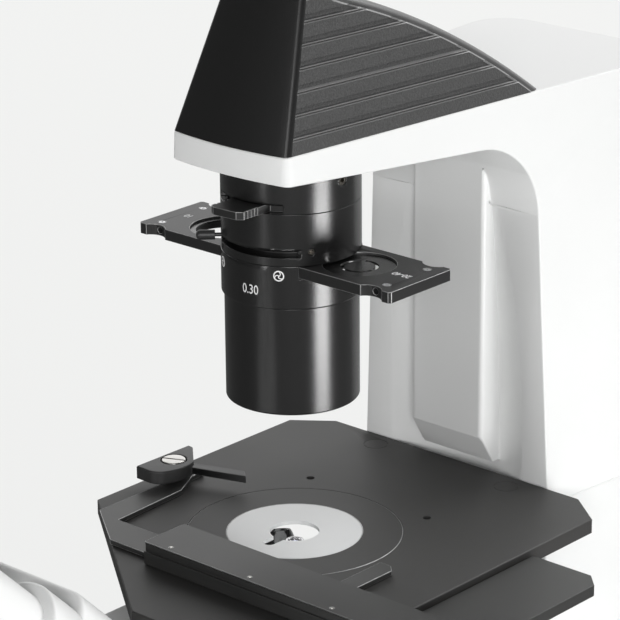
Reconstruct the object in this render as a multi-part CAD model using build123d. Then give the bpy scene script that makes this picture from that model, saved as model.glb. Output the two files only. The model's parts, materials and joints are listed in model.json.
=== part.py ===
from build123d import *
import os
from math import atan, cos, pi, radians, sin, sqrt, tan

# Inverted microscope. All shapes are drawn in the stage frame: origin where the optical
# axis meets the stage top, +X to the user's right, +Y to the rear, +Z up. The last lines
# move everything so that the origin stands on the table under the middle of the whole.

# Places of the main parts
STAGE_HEIGHT = 243.0        # stage top above the table
AXIS_FROM_MIDDLE = 49.5     # optical axis behind the middle of the whole depth
BODY_REAR = 250.0           # rear of the base behind the optical axis
TABLE = -STAGE_HEIGHT
SEAT_GAP = 0.3              # gap between pieces that must not touch
RUN_GAP = 0.06              # radial clearance of a shaft in its bore

# Stage plate with its round insert
STAGE_T = 8.0
STAGE_HALF_W = 104.5
STAGE_REAR = 126.6
STAGE_FRONT = 121.0
CUT_X, CUT_Y = 109.35, 83.6         # large front-left corner cut
CORNER_X, CORNER_Y = 20.6, 15.9     # rear corner cuts
INSERT_R, INSERT_T = 55.0, 3.0
DISC_R, DISC_T = 34.3, 2.0
KEY_HOLE_R, KEY_SLOT_W, KEY_SLOT_END = 12.5, 6.6, 22.0
TAP_X, TAP_Y, TAP_R = 40.0, 56.5, 2.1
PLUG_X, PLUG_Y, PLUG_R, PLUG_T = 45.0, 115.0, 6.4, 2.0

# Condenser stack, heights above the stage
HOUSING_Z, HOUSING_R = 152.7, 34.45
BARREL_Z, BARREL_R = 75.6, HOUSING_R - 1.15
RING_Z, RING_R = 130.6, HOUSING_R + 0.25
FIELD_Z = 178.6
BARREL_BORE_R, RING_BORE_R, HOUSING_BORE_R = BARREL_R - 6.3, RING_R - 12.7, HOUSING_R - 7.45
LENS_R, LENS_T, LENS_SAG = BARREL_BORE_R - 0.1, 11.0, 4.0
SLOT_Z, SLOT_H, SLOT_FROM, SLOT_TO = 158.5, 3.2, 218.0, 318.0
PIN_ANGLE, PIN_R, PIN_END = 224.0, 0.95, HOUSING_R + 6.55
CAP_START, CAP_END, CAP_R = HOUSING_R + 2.85, HOUSING_R + 12.15, 2.45
WINDOW_H, WINDOW_FROM, WINDOW_TO = 4.4, 226.0, 306.0
TAB_LEFT, TAB_RIGHT, TAB_FRONT, TAB_H = 8.0, 12.0, HOUSING_R + 15.05, 4.0
GRUB_R, GRUB_Z, GRUB_ANGLE = 2.5, 192.5, 359.0
STOP_R, STOP_Z, STOP_ANGLE = 1.6, 159.4, 328.7
BLADES = 8

# Phase slider
SLIDER_W, SLIDER_T = 45.6, 5.7
SLIDER_LEFT, SLIDER_RIGHT = 82.8, 82.8
SLIDER_PITCH = 44.2
SLIDER_HOLE_R, SEAT_R, SEAT_DEPTH = 16.0, 18.0, 2.2
WAIST_R, WAIST_DEPTH, WAIST_FROM_END = 8.0, 3.4, 11.7
SLIDER_SCREW_X, SLIDER_SCREW_Y, SLIDER_SCREW_R = 74.2, 14.8, 1.9

# Arm, hood and column
SEAM_Z = 213.4              # line between the white arm and the black hood
NOSE_HALF, NOSE_Y, NOSE_BOW = 37.3, -43.0, 3.9
FLANK_SPREAD = 0.093        # half width gained for each mm to the rear
ARM_BOTTOM_Z, ARM_DROP = 199.1, 0.067
ARM_REAR = 238.0
COLUMN_DRAFT = 2.5
COLUMN_FRONT, COLUMN_LEAN = 125.0, 0.0175
ARCH_R = 42.0
SCOOP_R, SCOOP_DEPTH, SCOOP_TOP = 100.0, 13.5, 148.0
SCOOP_LOW, SCOOP_ARC = 10.7, 1047.0
PANEL_HALF, PANEL_FOOT, PANEL_CHAMFER_Z, PANEL_CHAMFER_Y = 24.0, 3.0, 17.0, 10.5
PANEL_PROUD, PANEL_TOP = 5.0, 172.0
SPLIT_Z = -10.0             # seam between the column and the base
HOOD_TOP, HOOD_REAR = 287.0, 132.0
HOOD_LEAN, HOOD_FRONT_LEAN = 0.15, 0.352
HOOD_WALL, HOOD_REVEAL = 3.2, 0.4
RIB_Z, RIB_PITCH, RIB_COUNT, RIB_H, RIB_DEPTH, RIB_START = 221.4, 10.32, 7, 2.4, 1.2, 7.5

# Lamp in the hood
LAMP_HOLE_R, COLLECTOR_R, COLLECTOR_T = 23.0, 22.7, 9.0
SOCKET_HALF, SOCKET_TOP, SOCKET_PLATE = 24.0, 262.0, 3.0
BULB_R, BULB_LEN = 6.0, 20.0

# Mechanical stage
RAIL_LEFT, RAIL_RIGHT = 28.5, 150.0
RAIL_FRONT, RAIL_REAR = 79.1, 50.5
RAIL_TOP, RAIL_SKIRT = 12.5, 0.4
COVER_T, RAIL_WALL, RAIL_FLOOR_Z, RAIL_FLOOR_T = 0.8, 3.0, 3.4, 1.5
COVER_SCREW_X, COVER_SCREW_PITCH, COVER_SCREW_Y, COVER_SCREW_R = -13.0, 52.7, 75.4, 1.0
CARRIAGE_LEFT, CARRIAGE_RIGHT, PAD_LEFT = 105.9, 150.0, 118.0
CARRIAGE_FRONT, CARRIAGE_REAR = 100.0, 60.0
CARRIAGE_Z, CARRIAGE_T = -2.8, 6.0
KNOB_X, KNOB_Y = 112.0, -65.0
DRIVE_MODULE, DRIVE_TEETH = 0.8, 20
GUIDE_W, GUIDE_H, GUIDE_FRONT, GUIDE_REAR = 10.0, 10.0, 112.0, 62.0
HOLDER_Z, HOLDER_TOP = 0.3, 3.0
BLOCK_X, BLOCK_HALF, NECK_W = 40.0, 15.0, 4.4
CLIP_X, CLIP_Y, CLIP_TOP, CLIP_T = -91.0, 5.9, 12.6, 7.1
CLIP_SCREW_R, CLIP_SHANK_R = 6.25, 3.0
FINGER_Z, FINGER_TOP = 6.0, 10.0
STAGE_KNOB_R, STAGE_KNOB_H, STAGE_KNOB_TOP = 16.0, 18.0, -38.0

# Nosepiece and focus
TIP_Z, SHOULDER_Z = -5.0, -46.0
TURRET_TILT, TURRET_STATIONS, STATION_R = 15.0, 5, 24.0
TURRET_R, TURRET_H = 40.0, 10.0
THREAD_R, THREAD_L, LIGHT_R = 10.0, 4.0, 9.0
CARRIER_TOP, CARRIER_T, CARRIER_HALF = -92.0, 10.0, 36.0
SLIDE_Y, SLIDE_HALF, SLIDE_BOTTOM, FOCUS_DOWN = 104.0, 26.0, -176.0, 8.0
WAY_Y, WAY_FRONT_HALF, WAY_BACK_HALF, WAY_DEPTH = 114.0, 9.0, 6.5, 6.0
FOCUS_MODULE, FOCUS_TEETH = 0.6, 20
FOCUS_Z = -148.0
SLEEVE_R, FINE_SHAFT_R = 5.0, 3.0
COARSE_R, COARSE_W, FINE_R, FINE_END = 28.0, 32.0, 17.0, 152.0
CHEEK_HALF = 88.0

# Base
FOOT_H, FOOT_R = 12.0, 14.0
PLATE_T = 3.0
SLAB_TOP, SLAB_HALF, SLAB_FRONT = -183.0, 98.0, 222.0
TOWER_HALF, TOWER_TOP, TOWER_REAR, TOWER_FRONT = 34.0, -24.0, 72.0, 214.0
PATH_Z, PATH_R, CROSS_R = -150.0, 14.0, 12.0     # upright bores, and the ones that meet them
WELL_HALF, WELL_FRONT, WELL_BOTTOM = 32.0, 78.0, SLIDE_BOTTOM - FOCUS_DOWN - 1.2
BLOCK_TOP, BLOCK_FRONT = CARRIER_TOP - CARRIER_T - FOCUS_DOWN - 1.2, 66.0
POST_R, POST_X, POST_Y = 8.0, 22.0, 84.0
# Controls on the flanks and the rear of the slab
CONTROL_Y, CONTROL_Z, DIAL_R, DIAL_W = -150.0, -207.0, 13.0, 12.0
INLET_Z, INLET_HALF, INLET_H, SOCKET_DEPTH = SLAB_TOP - 24.0, 15.0, 10.0, 16.0
FUSE_LEFT, FUSE_RIGHT, FUSE_H = 24.0, 38.0, 7.0

# Binocular head, on an axis that rises to the front at 45 degrees
HEAD_Y, HEAD_Z, HEAD_PITCH = -150.0, -35.0, 45.0
HEAD_START, HEAD_LEN, HEAD_HALF_W, HEAD_HALF_T = 22.0, 52.0, 42.0, 31.0
COLLAR_R, COLLAR_H = 24.0, 10.0
EYE_HALF, EYE_BOX_R, EYE_BOX_T, EYE_TUBE_R = 31.5, 24.0, 26.0, 17.0
EYE_TUBE_END, EYEPIECE_END, EYEPIECE_R, EYE_SLEEVE_R = 150.0, 264.4, 19.0, 11.6


def prism(points, depth, plane=Plane.XY, both=False):
    """Closed outline drawn on a plane and pulled out along its normal."""
    face = plane * make_face(Polyline(*points, close=True))
    return extrude(face, depth, dir=plane.z_dir, both=both)


def side_prism(points, half_width):
    """Side view (y, z) pulled out to both sides of the middle plane."""
    face = make_face(Plane.YZ * Polyline(*points, close=True))
    return extrude(face, half_width, both=True)


def block(x0, x1, y0, y1, z0, z1):
    """Box from its low and high limits."""
    return Pos((x0 + x1) / 2, (y0 + y1) / 2, (z0 + z1) / 2) * Box(x1 - x0, y1 - y0, z1 - z0)


def rod(x, y, z0, z1, radius):
    """Upright cylinder between two heights."""
    return Pos(x, y, (z0 + z1) / 2) * Cylinder(radius, z1 - z0)


def tube(z0, z1, outer, inner, x=0.0, y=0.0):
    """Upright ring between two heights."""
    return rod(x, y, z0, z1, outer) - rod(x, y, z0 - 1, z1 + 1, inner)


def cross_rod(x0, x1, y, z, radius):
    """Cylinder along X."""
    return Pos((x0 + x1) / 2, y, z) * Rot(0, 90, 0) * Cylinder(radius, x1 - x0)


def radial_rod(r0, r1, angle, z, radius):
    """Cylinder that lies along a radius of the optical axis."""
    return Rot(0, 0, angle) * Pos((r0 + r1) / 2, 0, z) * Rot(0, 90, 0) * Cylinder(radius, r1 - r0)


def sector(r0, r1, a0, a1, z0, z1):
    """Part of a ring between two angles about the optical axis."""
    a0, a1 = radians(a0), radians(a1)
    mid = (a0 + a1) / 2
    rim = [(r * cos(a), r * sin(a)) for r in (r0, r1) for a in (a0, mid, a1)]
    wire = [
        ThreePointArc(rim[0], rim[1], rim[2]),
        Line(rim[2], rim[5]),
        ThreePointArc(rim[5], rim[4], rim[3]),
        Line(rim[3], rim[0]),
    ]
    return Pos(0, 0, z0) * extrude(make_face(wire), z1 - z0, dir=(0, 0, 1))


def turned(profile):
    """Solid of revolution about Z from (radius, height) points."""
    return revolve(make_face(Plane.XZ * Polyline(*profile, close=True)), Axis.Z)


def involute_gear(module, teeth, width, bore):
    """Spur pinion on Z with 20 degree teeth and a little backlash."""
    pitch_r = module * teeth / 2
    base_r, tip_r, root_r = pitch_r * cos(radians(20)), pitch_r + 0.85 * module, pitch_r - 1.2 * module
    half = pi / 2 / teeth - 0.06 / pitch_r
    flank_at_pitch = tan(radians(20)) - radians(20)
    outline = []
    for tooth in range(teeth):
        middle = 2 * pi * tooth / teeth
        flank = []
        for r in (max(base_r, root_r), pitch_r, tip_r):
            pressure = sqrt(max(r * r / base_r / base_r - 1, 0.0))
            flank.append((r, half + flank_at_pitch - (pressure - atan(pressure))))
        side = [(root_r, flank[0][1] + 0.02)] + flank
        outline += [(r * cos(middle - a), r * sin(middle - a)) for r, a in side]
        outline += [(r * cos(middle + a), r * sin(middle + a)) for r, a in reversed(side)]
    gear = extrude(make_face(Polyline(*outline, close=True)), width, dir=(0, 0, 1))
    return gear - Pos(0, 0, width / 2) * Cylinder(bore, width + 2)


def rack_outline(module, start, end, pitch_line, back, phase=0.0):
    """Rack teeth along the first axis, pointing to the second; pitch_line is the pitch height."""
    pitch = pi * module
    half, slope = pitch / 4 - 0.06, tan(radians(20))
    tip, root = 0.8 * module, 1.25 * module
    points = [(start, back)]
    points.append((start, pitch_line - root))
    count = int((end - start) / pitch)
    first = start + (end - start - (count - 1) * pitch) / 2
    first += ((phase - first) / pitch - round((phase - first) / pitch)) * pitch
    for k in range(count):
        mid = first + k * pitch
        if mid - pitch / 2 < start or mid + pitch / 2 > end:
            continue
        points.append((mid - half - root * slope, pitch_line - root))
        points.append((mid - half + tip * slope, pitch_line + tip))
        points.append((mid + half - tip * slope, pitch_line + tip))
        points.append((mid + half + root * slope, pitch_line - root))
    points.append((end, pitch_line - root))
    points.append((end, back))
    return points


def fluted(radius, height, flutes, depth):
    """Knob body with round finger flutes round its rim."""
    body = Cylinder(radius, height)
    groove_r = pi * radius / flutes / 2.2
    grooves = [
        Rot(0, 0, 360 / flutes * k) * Pos(radius + groove_r - depth, 0, 0) * Cylinder(groove_r, height + 2)
        for k in range(flutes)
    ]
    return body - grooves


# Stage

def stage_outline():
    x, r, f = STAGE_HALF_W, STAGE_REAR, -STAGE_FRONT
    return [
        (-x, f + CUT_Y), (-x + CUT_X, f), (x, f), (x, r - CORNER_Y), (x - CORNER_X, r),
        (-x + CORNER_X, r), (-x, r - CORNER_Y),
    ]


def stage_plate():
    plate = Pos(0, 0, -STAGE_T) * prism(stage_outline(), STAGE_T)
    plate = chamfer(plate.faces().sort_by(Axis.Z)[-1].edges(), 0.5)
    plate -= rod(0, 0, -INSERT_T - 0.2, 1, INSERT_R + 0.15)
    plate -= rod(0, 0, -STAGE_T - 1, 1, INSERT_R - 6)
    for side in (-1, 1):
        plate -= rod(side * TAP_X, TAP_Y, -STAGE_T - 1, 1, TAP_R)
        plate -= rod(side * PLUG_X, PLUG_Y, -PLUG_T, 1, PLUG_R + 0.1)
    return plate


def stage_ring():
    ring = tube(-INSERT_T, 0, INSERT_R, DISC_R - 4)
    return ring - rod(0, 0, -DISC_T, 1, DISC_R + 0.1)


def stage_disc():
    disc = rod(0, 0, -DISC_T, 0, DISC_R) - rod(0, 0, -DISC_T - 1, 1, KEY_HOLE_R)
    disc -= block(-KEY_SLOT_W / 2, KEY_SLOT_W / 2, -KEY_SLOT_END + KEY_SLOT_W / 2, 0, -DISC_T - 1, 1)
    return disc - rod(0, -KEY_SLOT_END + KEY_SLOT_W / 2, -DISC_T - 1, 1, KEY_SLOT_W / 2)


def stage_plugs():
    return [rod(side * PLUG_X, PLUG_Y, -PLUG_T, 0, PLUG_R) for side in (-1, 1)]


# Mechanical stage

def drive_radius():
    return DRIVE_MODULE * DRIVE_TEETH / 2


def y_guide():
    """Rail under the right edge of the stage; its outer side is the rack of the Y drive."""
    pitch_line = KNOB_X - drive_radius()
    inner = pitch_line - GUIDE_W
    teeth = rack_outline(DRIVE_MODULE, -GUIDE_FRONT, GUIDE_REAR, pitch_line, inner, KNOB_Y)
    rail = prism([(x, y) for y, x in teeth], GUIDE_H)
    rail = Pos(0, 0, -STAGE_T - GUIDE_H) * rail
    mid = inner + 3.5
    return rail - block(mid - 1.6, mid + 1.6, -GUIDE_FRONT - 1, GUIDE_REAR + 1,
                        -STAGE_T - GUIDE_H - 1, -STAGE_T - GUIDE_H + 2.2)


def y_carriage():
    """Plate that runs along the right of the stage and hooks under its guide rail."""
    top, low = CARRIAGE_Z, CARRIAGE_Z - CARRIAGE_T
    foot_top = -STAGE_T - GUIDE_H - SEAT_GAP
    foot_low = foot_top - CARRIAGE_T
    inner = KNOB_X - drive_radius() - GUIDE_W
    plate = block(CARRIAGE_LEFT, CARRIAGE_RIGHT, -CARRIAGE_FRONT, CARRIAGE_REAR, low, top)
    plate = chamfer(plate.edges().filter_by(Axis.Z).group_by(Axis.X)[-1], 8)
    web_x = KNOB_X + drive_radius() + 3
    web = block(web_x, web_x + 6, -CARRIAGE_FRONT + 12, CARRIAGE_REAR - 12, foot_low, low)
    foot = block(inner - 1, web_x + 6, KNOB_Y - 25, KNOB_Y + 45, foot_low, foot_top)
    key = block(inner + 3.5 - 1.4, inner + 3.5 + 1.4, KNOB_Y - 25, KNOB_Y + 45, foot_top, foot_top + 2)
    hub = rod(KNOB_X, KNOB_Y, foot_low - 8, foot_low, 10)
    carriage = plate + web + foot + key + hub
    carriage -= rod(KNOB_X, KNOB_Y, foot_low - 9, foot_top + 1, 4.5 + RUN_GAP)
    carriage -= rod(KNOB_X, KNOB_Y, low - 1, top + 1, 3.0 + RUN_GAP)
    pad = block(PAD_LEFT, RAIL_RIGHT - 2, -RAIL_FRONT + 2, -RAIL_REAR - 2, top, RAIL_FLOOR_Z)
    return carriage + pad


def x_rail():
    """Long hollow rail across the stage; the X slider runs inside it."""
    f, r, body_top = -RAIL_FRONT, -RAIL_REAR, RAIL_TOP - COVER_T
    floor_top = RAIL_FLOOR_Z + RAIL_FLOOR_T
    lower_top, inset = 7.2, 1.2
    profile = [
        (f, RAIL_SKIRT), (f, lower_top), (f + inset, lower_top), (f + inset, body_top),
        (f + 4.2, body_top), (f + 4.2, floor_top), (r - RAIL_WALL, floor_top),
        (r - RAIL_WALL, body_top), (r, body_top), (r, RAIL_FLOOR_Z), (f + 4.2, RAIL_FLOOR_Z),
        (f + 4.2, RAIL_SKIRT),
    ]
    face = make_face(Plane.YZ * Polyline(*profile, close=True))
    rail = Pos(-RAIL_LEFT, 0, 0) * extrude(face, RAIL_LEFT + RAIL_RIGHT, dir=(1, 0, 0))
    ends = block(-RAIL_LEFT, -RAIL_LEFT + RAIL_WALL, f + inset, r, RAIL_FLOOR_Z, body_top)
    ends += block(RAIL_RIGHT - RAIL_WALL, RAIL_RIGHT, f + inset, r, RAIL_FLOOR_Z, body_top)
    rail += ends
    slot = block(-RAIL_LEFT + 12, KNOB_X - 12, KNOB_Y - 2.8, KNOB_Y + 2.8, 0, floor_top + 1)
    rail -= slot
    rail -= rod(KNOB_X, KNOB_Y, 0, floor_top + 1, 3.0 + RUN_GAP)
    rail -= block(PAD_LEFT - SEAT_GAP, RAIL_RIGHT + 1, f - 1, f + 4.3, -1, RAIL_FLOOR_Z)
    for k in range(3):
        x = COVER_SCREW_X + k * COVER_SCREW_PITCH
        rail -= rod(x, -COVER_SCREW_Y, body_top - 2.4, body_top + 1, COVER_SCREW_R * 0.6 + 0.05)
    return rail


def rail_cover():
    cover = block(-RAIL_LEFT, RAIL_RIGHT, -RAIL_FRONT, -RAIL_REAR, RAIL_TOP - COVER_T, RAIL_TOP)
    cover = fillet(cover.edges().filter_by(Axis.Z).group_by(Axis.X)[0], 1.5)
    for k in range(3):
        cover -= rod(COVER_SCREW_X + k * COVER_SCREW_PITCH, -COVER_SCREW_Y, 0, 20, COVER_SCREW_R + 0.05)
    return cover


def cover_screws():
    screws = []
    body_top = RAIL_TOP - COVER_T
    for k in range(3):
        x = COVER_SCREW_X + k * COVER_SCREW_PITCH
        head = rod(x, -COVER_SCREW_Y, body_top, RAIL_TOP + 0.25, COVER_SCREW_R)
        head -= block(x - 0.2, x + 0.2, -COVER_SCREW_Y - 2, -COVER_SCREW_Y + 2, RAIL_TOP, RAIL_TOP + 1)
        screws.append(head + rod(x, -COVER_SCREW_Y, body_top - 2.2, body_top, COVER_SCREW_R * 0.6))
    return screws


def x_pulley_radius():
    return drive_radius()


def drive_belt():
    """Flat belt round the drive pulley and the idler inside the rail."""
    z0, z1 = RAIL_FLOOR_Z + RAIL_FLOOR_T + 1.0, RAIL_TOP - COVER_T - 1.2
    idler_x, r = -RAIL_LEFT + RAIL_WALL + x_pulley_radius() + 2, x_pulley_radius()

    def loop(radius):
        return (block(idler_x, KNOB_X, KNOB_Y - radius, KNOB_Y + radius, z0, z1)
                + rod(idler_x, KNOB_Y, z0, z1, radius) + rod(KNOB_X, KNOB_Y, z0, z1, radius))

    return loop(r + 0.1 + 0.9) - loop(r + 0.1)


def idler_pulley():
    floor_top = RAIL_FLOOR_Z + RAIL_FLOOR_T
    idler_x = -RAIL_LEFT + RAIL_WALL + x_pulley_radius() + 2
    return rod(idler_x, KNOB_Y, floor_top, RAIL_TOP - COVER_T - 1.2, x_pulley_radius())


def x_slider():
    """Block on the belt inside the rail, with its neck down to the specimen holder."""
    z0, z1 = RAIL_FLOOR_Z + RAIL_FLOOR_T + SEAT_GAP, RAIL_TOP - COVER_T - SEAT_GAP
    half = x_pulley_radius() - SEAT_GAP
    slider = block(BLOCK_X - BLOCK_HALF, BLOCK_X + BLOCK_HALF, KNOB_Y - half, KNOB_Y + half, z0, z1)
    return slider + block(BLOCK_X - BLOCK_HALF, BLOCK_X + BLOCK_HALF, KNOB_Y - NECK_W / 2,
                          KNOB_Y + NECK_W / 2, HOLDER_TOP, z0)


def specimen_holder():
    """Flat U that frames the dish or slide, with the boss of its clip."""
    outline = [
        (-88.9, -51.0), (-58.2, -73.5), (72.9, -73.5), (72.9, -9.5), (68.9, -5.5), (62.0, -5.5),
        (62.0, -53.3), (-72.4, -53.3), (-75.2, -4.8), (-84.0, 12.4), (-84.0, 21.0), (-88.9, 26.0),
    ]
    plate = Pos(0, 0, HOLDER_Z) * prism(outline, HOLDER_TOP - HOLDER_Z)
    ear = rod(CLIP_X, CLIP_Y, HOLDER_Z, HOLDER_TOP, 8.0)
    bridge = block(CLIP_X, -86, CLIP_Y - 8, CLIP_Y + 8, HOLDER_Z, HOLDER_TOP)
    boss = rod(CLIP_X, CLIP_Y, HOLDER_TOP, FINGER_TOP - 2.3, 5.0)
    hole = rod(CLIP_X, CLIP_Y, HOLDER_TOP - 1.5, FINGER_TOP, CLIP_SHANK_R * 0.7 + 0.05)
    # The open slot lets the knob's shaft pass at the end of the travel.
    shaft_slot = block(61, 74, KNOB_Y - 3.6, KNOB_Y + 3.6, HOLDER_Z - 1, HOLDER_TOP + 1)
    return plate + ear + bridge + boss - hole - shaft_slot


def stage_clip():
    """Sprung clip: thick D-shaped lever over the pivot and a tapered finger to the dish."""
    low = CLIP_TOP - CLIP_T
    wire = [
        Line((-99.7, -13.3), (-99.0, 25.4)),
        Line((-99.0, 25.4), (-95.6, 25.0)),
        Line((-95.6, 25.0), (-81.6, 11.2)),
        ThreePointArc((-81.6, 11.2), (-79.6, 1.0), (-82.3, -8.8)),
        ThreePointArc((-82.3, -8.8), (-85.4, -12.2), (-90.0, -13.6)),
        Line((-90.0, -13.6), (-99.7, -13.3)),
    ]
    lever = Pos(0, 0, low) * extrude(make_face(wire), CLIP_T, dir=(0, 0, 1))
    lever = fillet(lever.faces().sort_by(Axis.Z)[-1].edges(), 0.8)
    finger = [(-90.0, 4.5), (-80.5, 8.6), (-50.6, 18.3), (-56.1, 23.3), (-82.5, 14.2), (-90.0, 12.0)]
    lever += Pos(0, 0, FINGER_Z) * prism(finger, FINGER_TOP - FINGER_Z)
    lever -= rod(CLIP_X, CLIP_Y, CLIP_TOP - 2.0, CLIP_TOP + 1, CLIP_SCREW_R + 0.7)
    lever -= rod(CLIP_X, CLIP_Y, 0, CLIP_TOP + 1, CLIP_SHANK_R + RUN_GAP)
    return lever - rod(CLIP_X, CLIP_Y, 0, FINGER_TOP - 2.0, 5.3)


def clip_screw():
    x, y = CLIP_X, CLIP_Y
    seat = CLIP_TOP - 2.0 + 0.1
    head = rod(x, y, seat, CLIP_TOP + 0.2, CLIP_SCREW_R)
    head = chamfer(head.faces().sort_by(Axis.Z)[-1].edges(), 0.3)
    head -= Pos(x, y, CLIP_TOP) * Rot(0, 0, 25) * Box(2.2 * CLIP_SCREW_R, 1.1, 1.4)
    shank = rod(x, y, FINGER_TOP - 2.3, seat, CLIP_SHANK_R)
    return head + shank + rod(x, y, HOLDER_TOP - 1.5, FINGER_TOP - 2.3, CLIP_SHANK_R * 0.7)


def stage_knob(top, height, radius):
    knob = rod(KNOB_X, KNOB_Y, top - height, top, radius)
    knob = chamfer(knob.edges().filter_by(GeomType.CIRCLE), 0.8)
    flutes = 36
    for k in range(flutes):
        a = 2 * pi * k / flutes
        x, y = KNOB_X + radius * cos(a), KNOB_Y + radius * sin(a)
        knob -= rod(x, y, top - height + 2, top - 2, 0.6)
    return knob


def y_knob():
    """Upper knob on a hollow shaft, with the pinion of the Y rack at its top."""
    gear_low = -STAGE_T - GUIDE_H
    knob = stage_knob(STAGE_KNOB_TOP, STAGE_KNOB_H, STAGE_KNOB_R)
    knob += rod(KNOB_X, KNOB_Y, STAGE_KNOB_TOP, gear_low, 4.5)
    pinion = involute_gear(DRIVE_MODULE, DRIVE_TEETH, GUIDE_H - 1.5, 2.0)
    # Half a pitch turns a gap of the pinion to the rack tooth opposite.
    knob += Pos(KNOB_X, KNOB_Y, gear_low) * Rot(0, 0, 180 / DRIVE_TEETH) * pinion
    return knob - rod(KNOB_X, KNOB_Y, -80, 0, 3.0 + RUN_GAP)


def x_knob():
    """Lower knob whose shaft runs up through the upper one to the belt pulley."""
    top = STAGE_KNOB_TOP - STAGE_KNOB_H - SEAT_GAP
    floor_top = RAIL_FLOOR_Z + RAIL_FLOOR_T
    knob = stage_knob(top, STAGE_KNOB_H, STAGE_KNOB_R - 2.0)
    knob += rod(KNOB_X, KNOB_Y, top, floor_top + SEAT_GAP, 3.0)
    return knob + rod(KNOB_X, KNOB_Y, floor_top + SEAT_GAP, RAIL_TOP - COVER_T - 1.2, x_pulley_radius())


# Condenser

def condenser_barrel():
    barrel = tube(BARREL_Z, RING_Z, BARREL_R, BARREL_BORE_R - 4)
    barrel -= rod(0, 0, BARREL_Z - 1, BARREL_Z + 19, BARREL_BORE_R)
    return chamfer(barrel.edges().filter_by(GeomType.CIRCLE).group_by(Axis.Z)[0], 0.6)


def condenser_lens():
    top = BARREL_Z + 19.0
    radius = (LENS_R ** 2 + LENS_SAG ** 2) / 2 / LENS_SAG
    ball = Pos(0, 0, top - LENS_T + radius) * Sphere(radius)
    return rod(0, 0, top - LENS_T, top, LENS_R) & ball


def slider_ring():
    ring = tube(RING_Z, HOUSING_Z, RING_R, RING_BORE_R)
    half = SLIDER_W / 2 + 0.2
    low = HOUSING_Z - SEAT_GAP - SLIDER_T - 0.3
    ring -= block(-RING_R - 1, RING_R + 1, -half, half, low, HOUSING_Z + 1)
    return chamfer(ring.edges().filter_by(GeomType.CIRCLE).group_by(Axis.Z)[0], 0.5)


def condenser_housing():
    ledge = SLOT_Z - SLOT_H / 2 - 0.2
    housing = tube(HOUSING_Z, FIELD_Z, HOUSING_R, RING_BORE_R)
    housing -= rod(0, 0, ledge, FIELD_Z + 1, HOUSING_BORE_R)
    housing -= sector(HOUSING_BORE_R - 2, HOUSING_R + 2, SLOT_FROM, SLOT_TO,
                      SLOT_Z - SLOT_H / 2, SLOT_Z + SLOT_H / 2)
    return housing - radial_rod(HOUSING_R - 4, HOUSING_R + 1, STOP_ANGLE, STOP_Z, STOP_R + 0.1)


def aperture_ring():
    """Drive ring of the aperture iris, turned by the pin in the slot."""
    low = SLOT_Z - SLOT_H / 2
    ring = tube(low, SLOT_Z + SLOT_H / 2, HOUSING_BORE_R - 0.2, RING_BORE_R - 2)
    ring -= radial_rod(HOUSING_BORE_R - 3.5, HOUSING_BORE_R + 1, PIN_ANGLE, SLOT_Z, PIN_R)
    for k in range(BLADES):
        slot = Pos(RING_BORE_R + 1.6, 0, SLOT_Z) * Box(3.0, 1.0, SLOT_H + 1)
        ring -= Rot(0, 0, PIN_ANGLE + 360 / BLADES * (k + 0.5)) * slot
    return ring


def iris_blades():
    """Thin crescent blades that overlap round the opening, each on its own level."""
    blades = []
    start = SLOT_Z + SLOT_H / 2 + 0.3
    for k in range(BLADES):
        z = start + 0.5 * k
        blade = sector(HOUSING_BORE_R - 14, HOUSING_BORE_R - 1.5, 0, 150, z, z + 0.2)
        blades.append(Rot(0, 0, 360 / BLADES * k) * blade)
    return blades


def aperture_pin():
    return radial_rod(HOUSING_BORE_R - 3.5, PIN_END, PIN_ANGLE, SLOT_Z, PIN_R)


def aperture_cap():
    cap = radial_rod(CAP_START, CAP_END, PIN_ANGLE, SLOT_Z, CAP_R)
    cap = fillet(cap.edges().filter_by(GeomType.CIRCLE).sort_by_distance((0, 0, SLOT_Z))[-1], 2.0)
    return cap - radial_rod(CAP_START - 1, PIN_END, PIN_ANGLE, SLOT_Z, PIN_R)


def arm_underside(y):
    return ARM_BOTTOM_Z - ARM_DROP * (y - NOSE_Y)


def field_ring():
    """Upper cylinder under the arm, with the window of the field lever."""
    top = arm_underside(0) + 7.0
    ring = tube(FIELD_Z, top, HOUSING_R, HOUSING_BORE_R)
    ring -= rod(0, 0, FIELD_Z - 1, FIELD_Z + WINDOW_H + 2.0, HOUSING_BORE_R + 3.5)
    ring -= sector(HOUSING_BORE_R, HOUSING_R + 2, WINDOW_FROM, WINDOW_TO, FIELD_Z - 1, FIELD_Z + WINDOW_H)
    return ring - radial_rod(HOUSING_R - 6, HOUSING_R + 1, GRUB_ANGLE, GRUB_Z, GRUB_R + 0.1)


def field_lever():
    """Drive ring of the field diaphragm with its thumb tab out of the window."""
    low = FIELD_Z + 0.2
    ring = tube(low, low + TAB_H, HOUSING_BORE_R + 3.3, HOUSING_BORE_R - 3)
    outline = [
        (-TAB_LEFT, -HOUSING_BORE_R), (-TAB_LEFT, -TAB_FRONT + 2), (-TAB_LEFT + 3, -TAB_FRONT),
        (TAB_RIGHT - 3, -TAB_FRONT + 1), (TAB_RIGHT, -TAB_FRONT + 3.5), (TAB_RIGHT, 2 - HOUSING_BORE_R),
    ]
    tab = Pos(0, 0, low) * prism(outline, TAB_H)
    for k in range(4):
        y = -TAB_FRONT + 5.2 + 2.3 * k
        for x in (-TAB_LEFT, TAB_RIGHT):
            tab -= rod(x, y, low - 1, low + TAB_H + 1, 0.75)
    return ring + (tab - rod(0, 0, low - 1, low + TAB_H + 1, HOUSING_BORE_R + 2))


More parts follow.
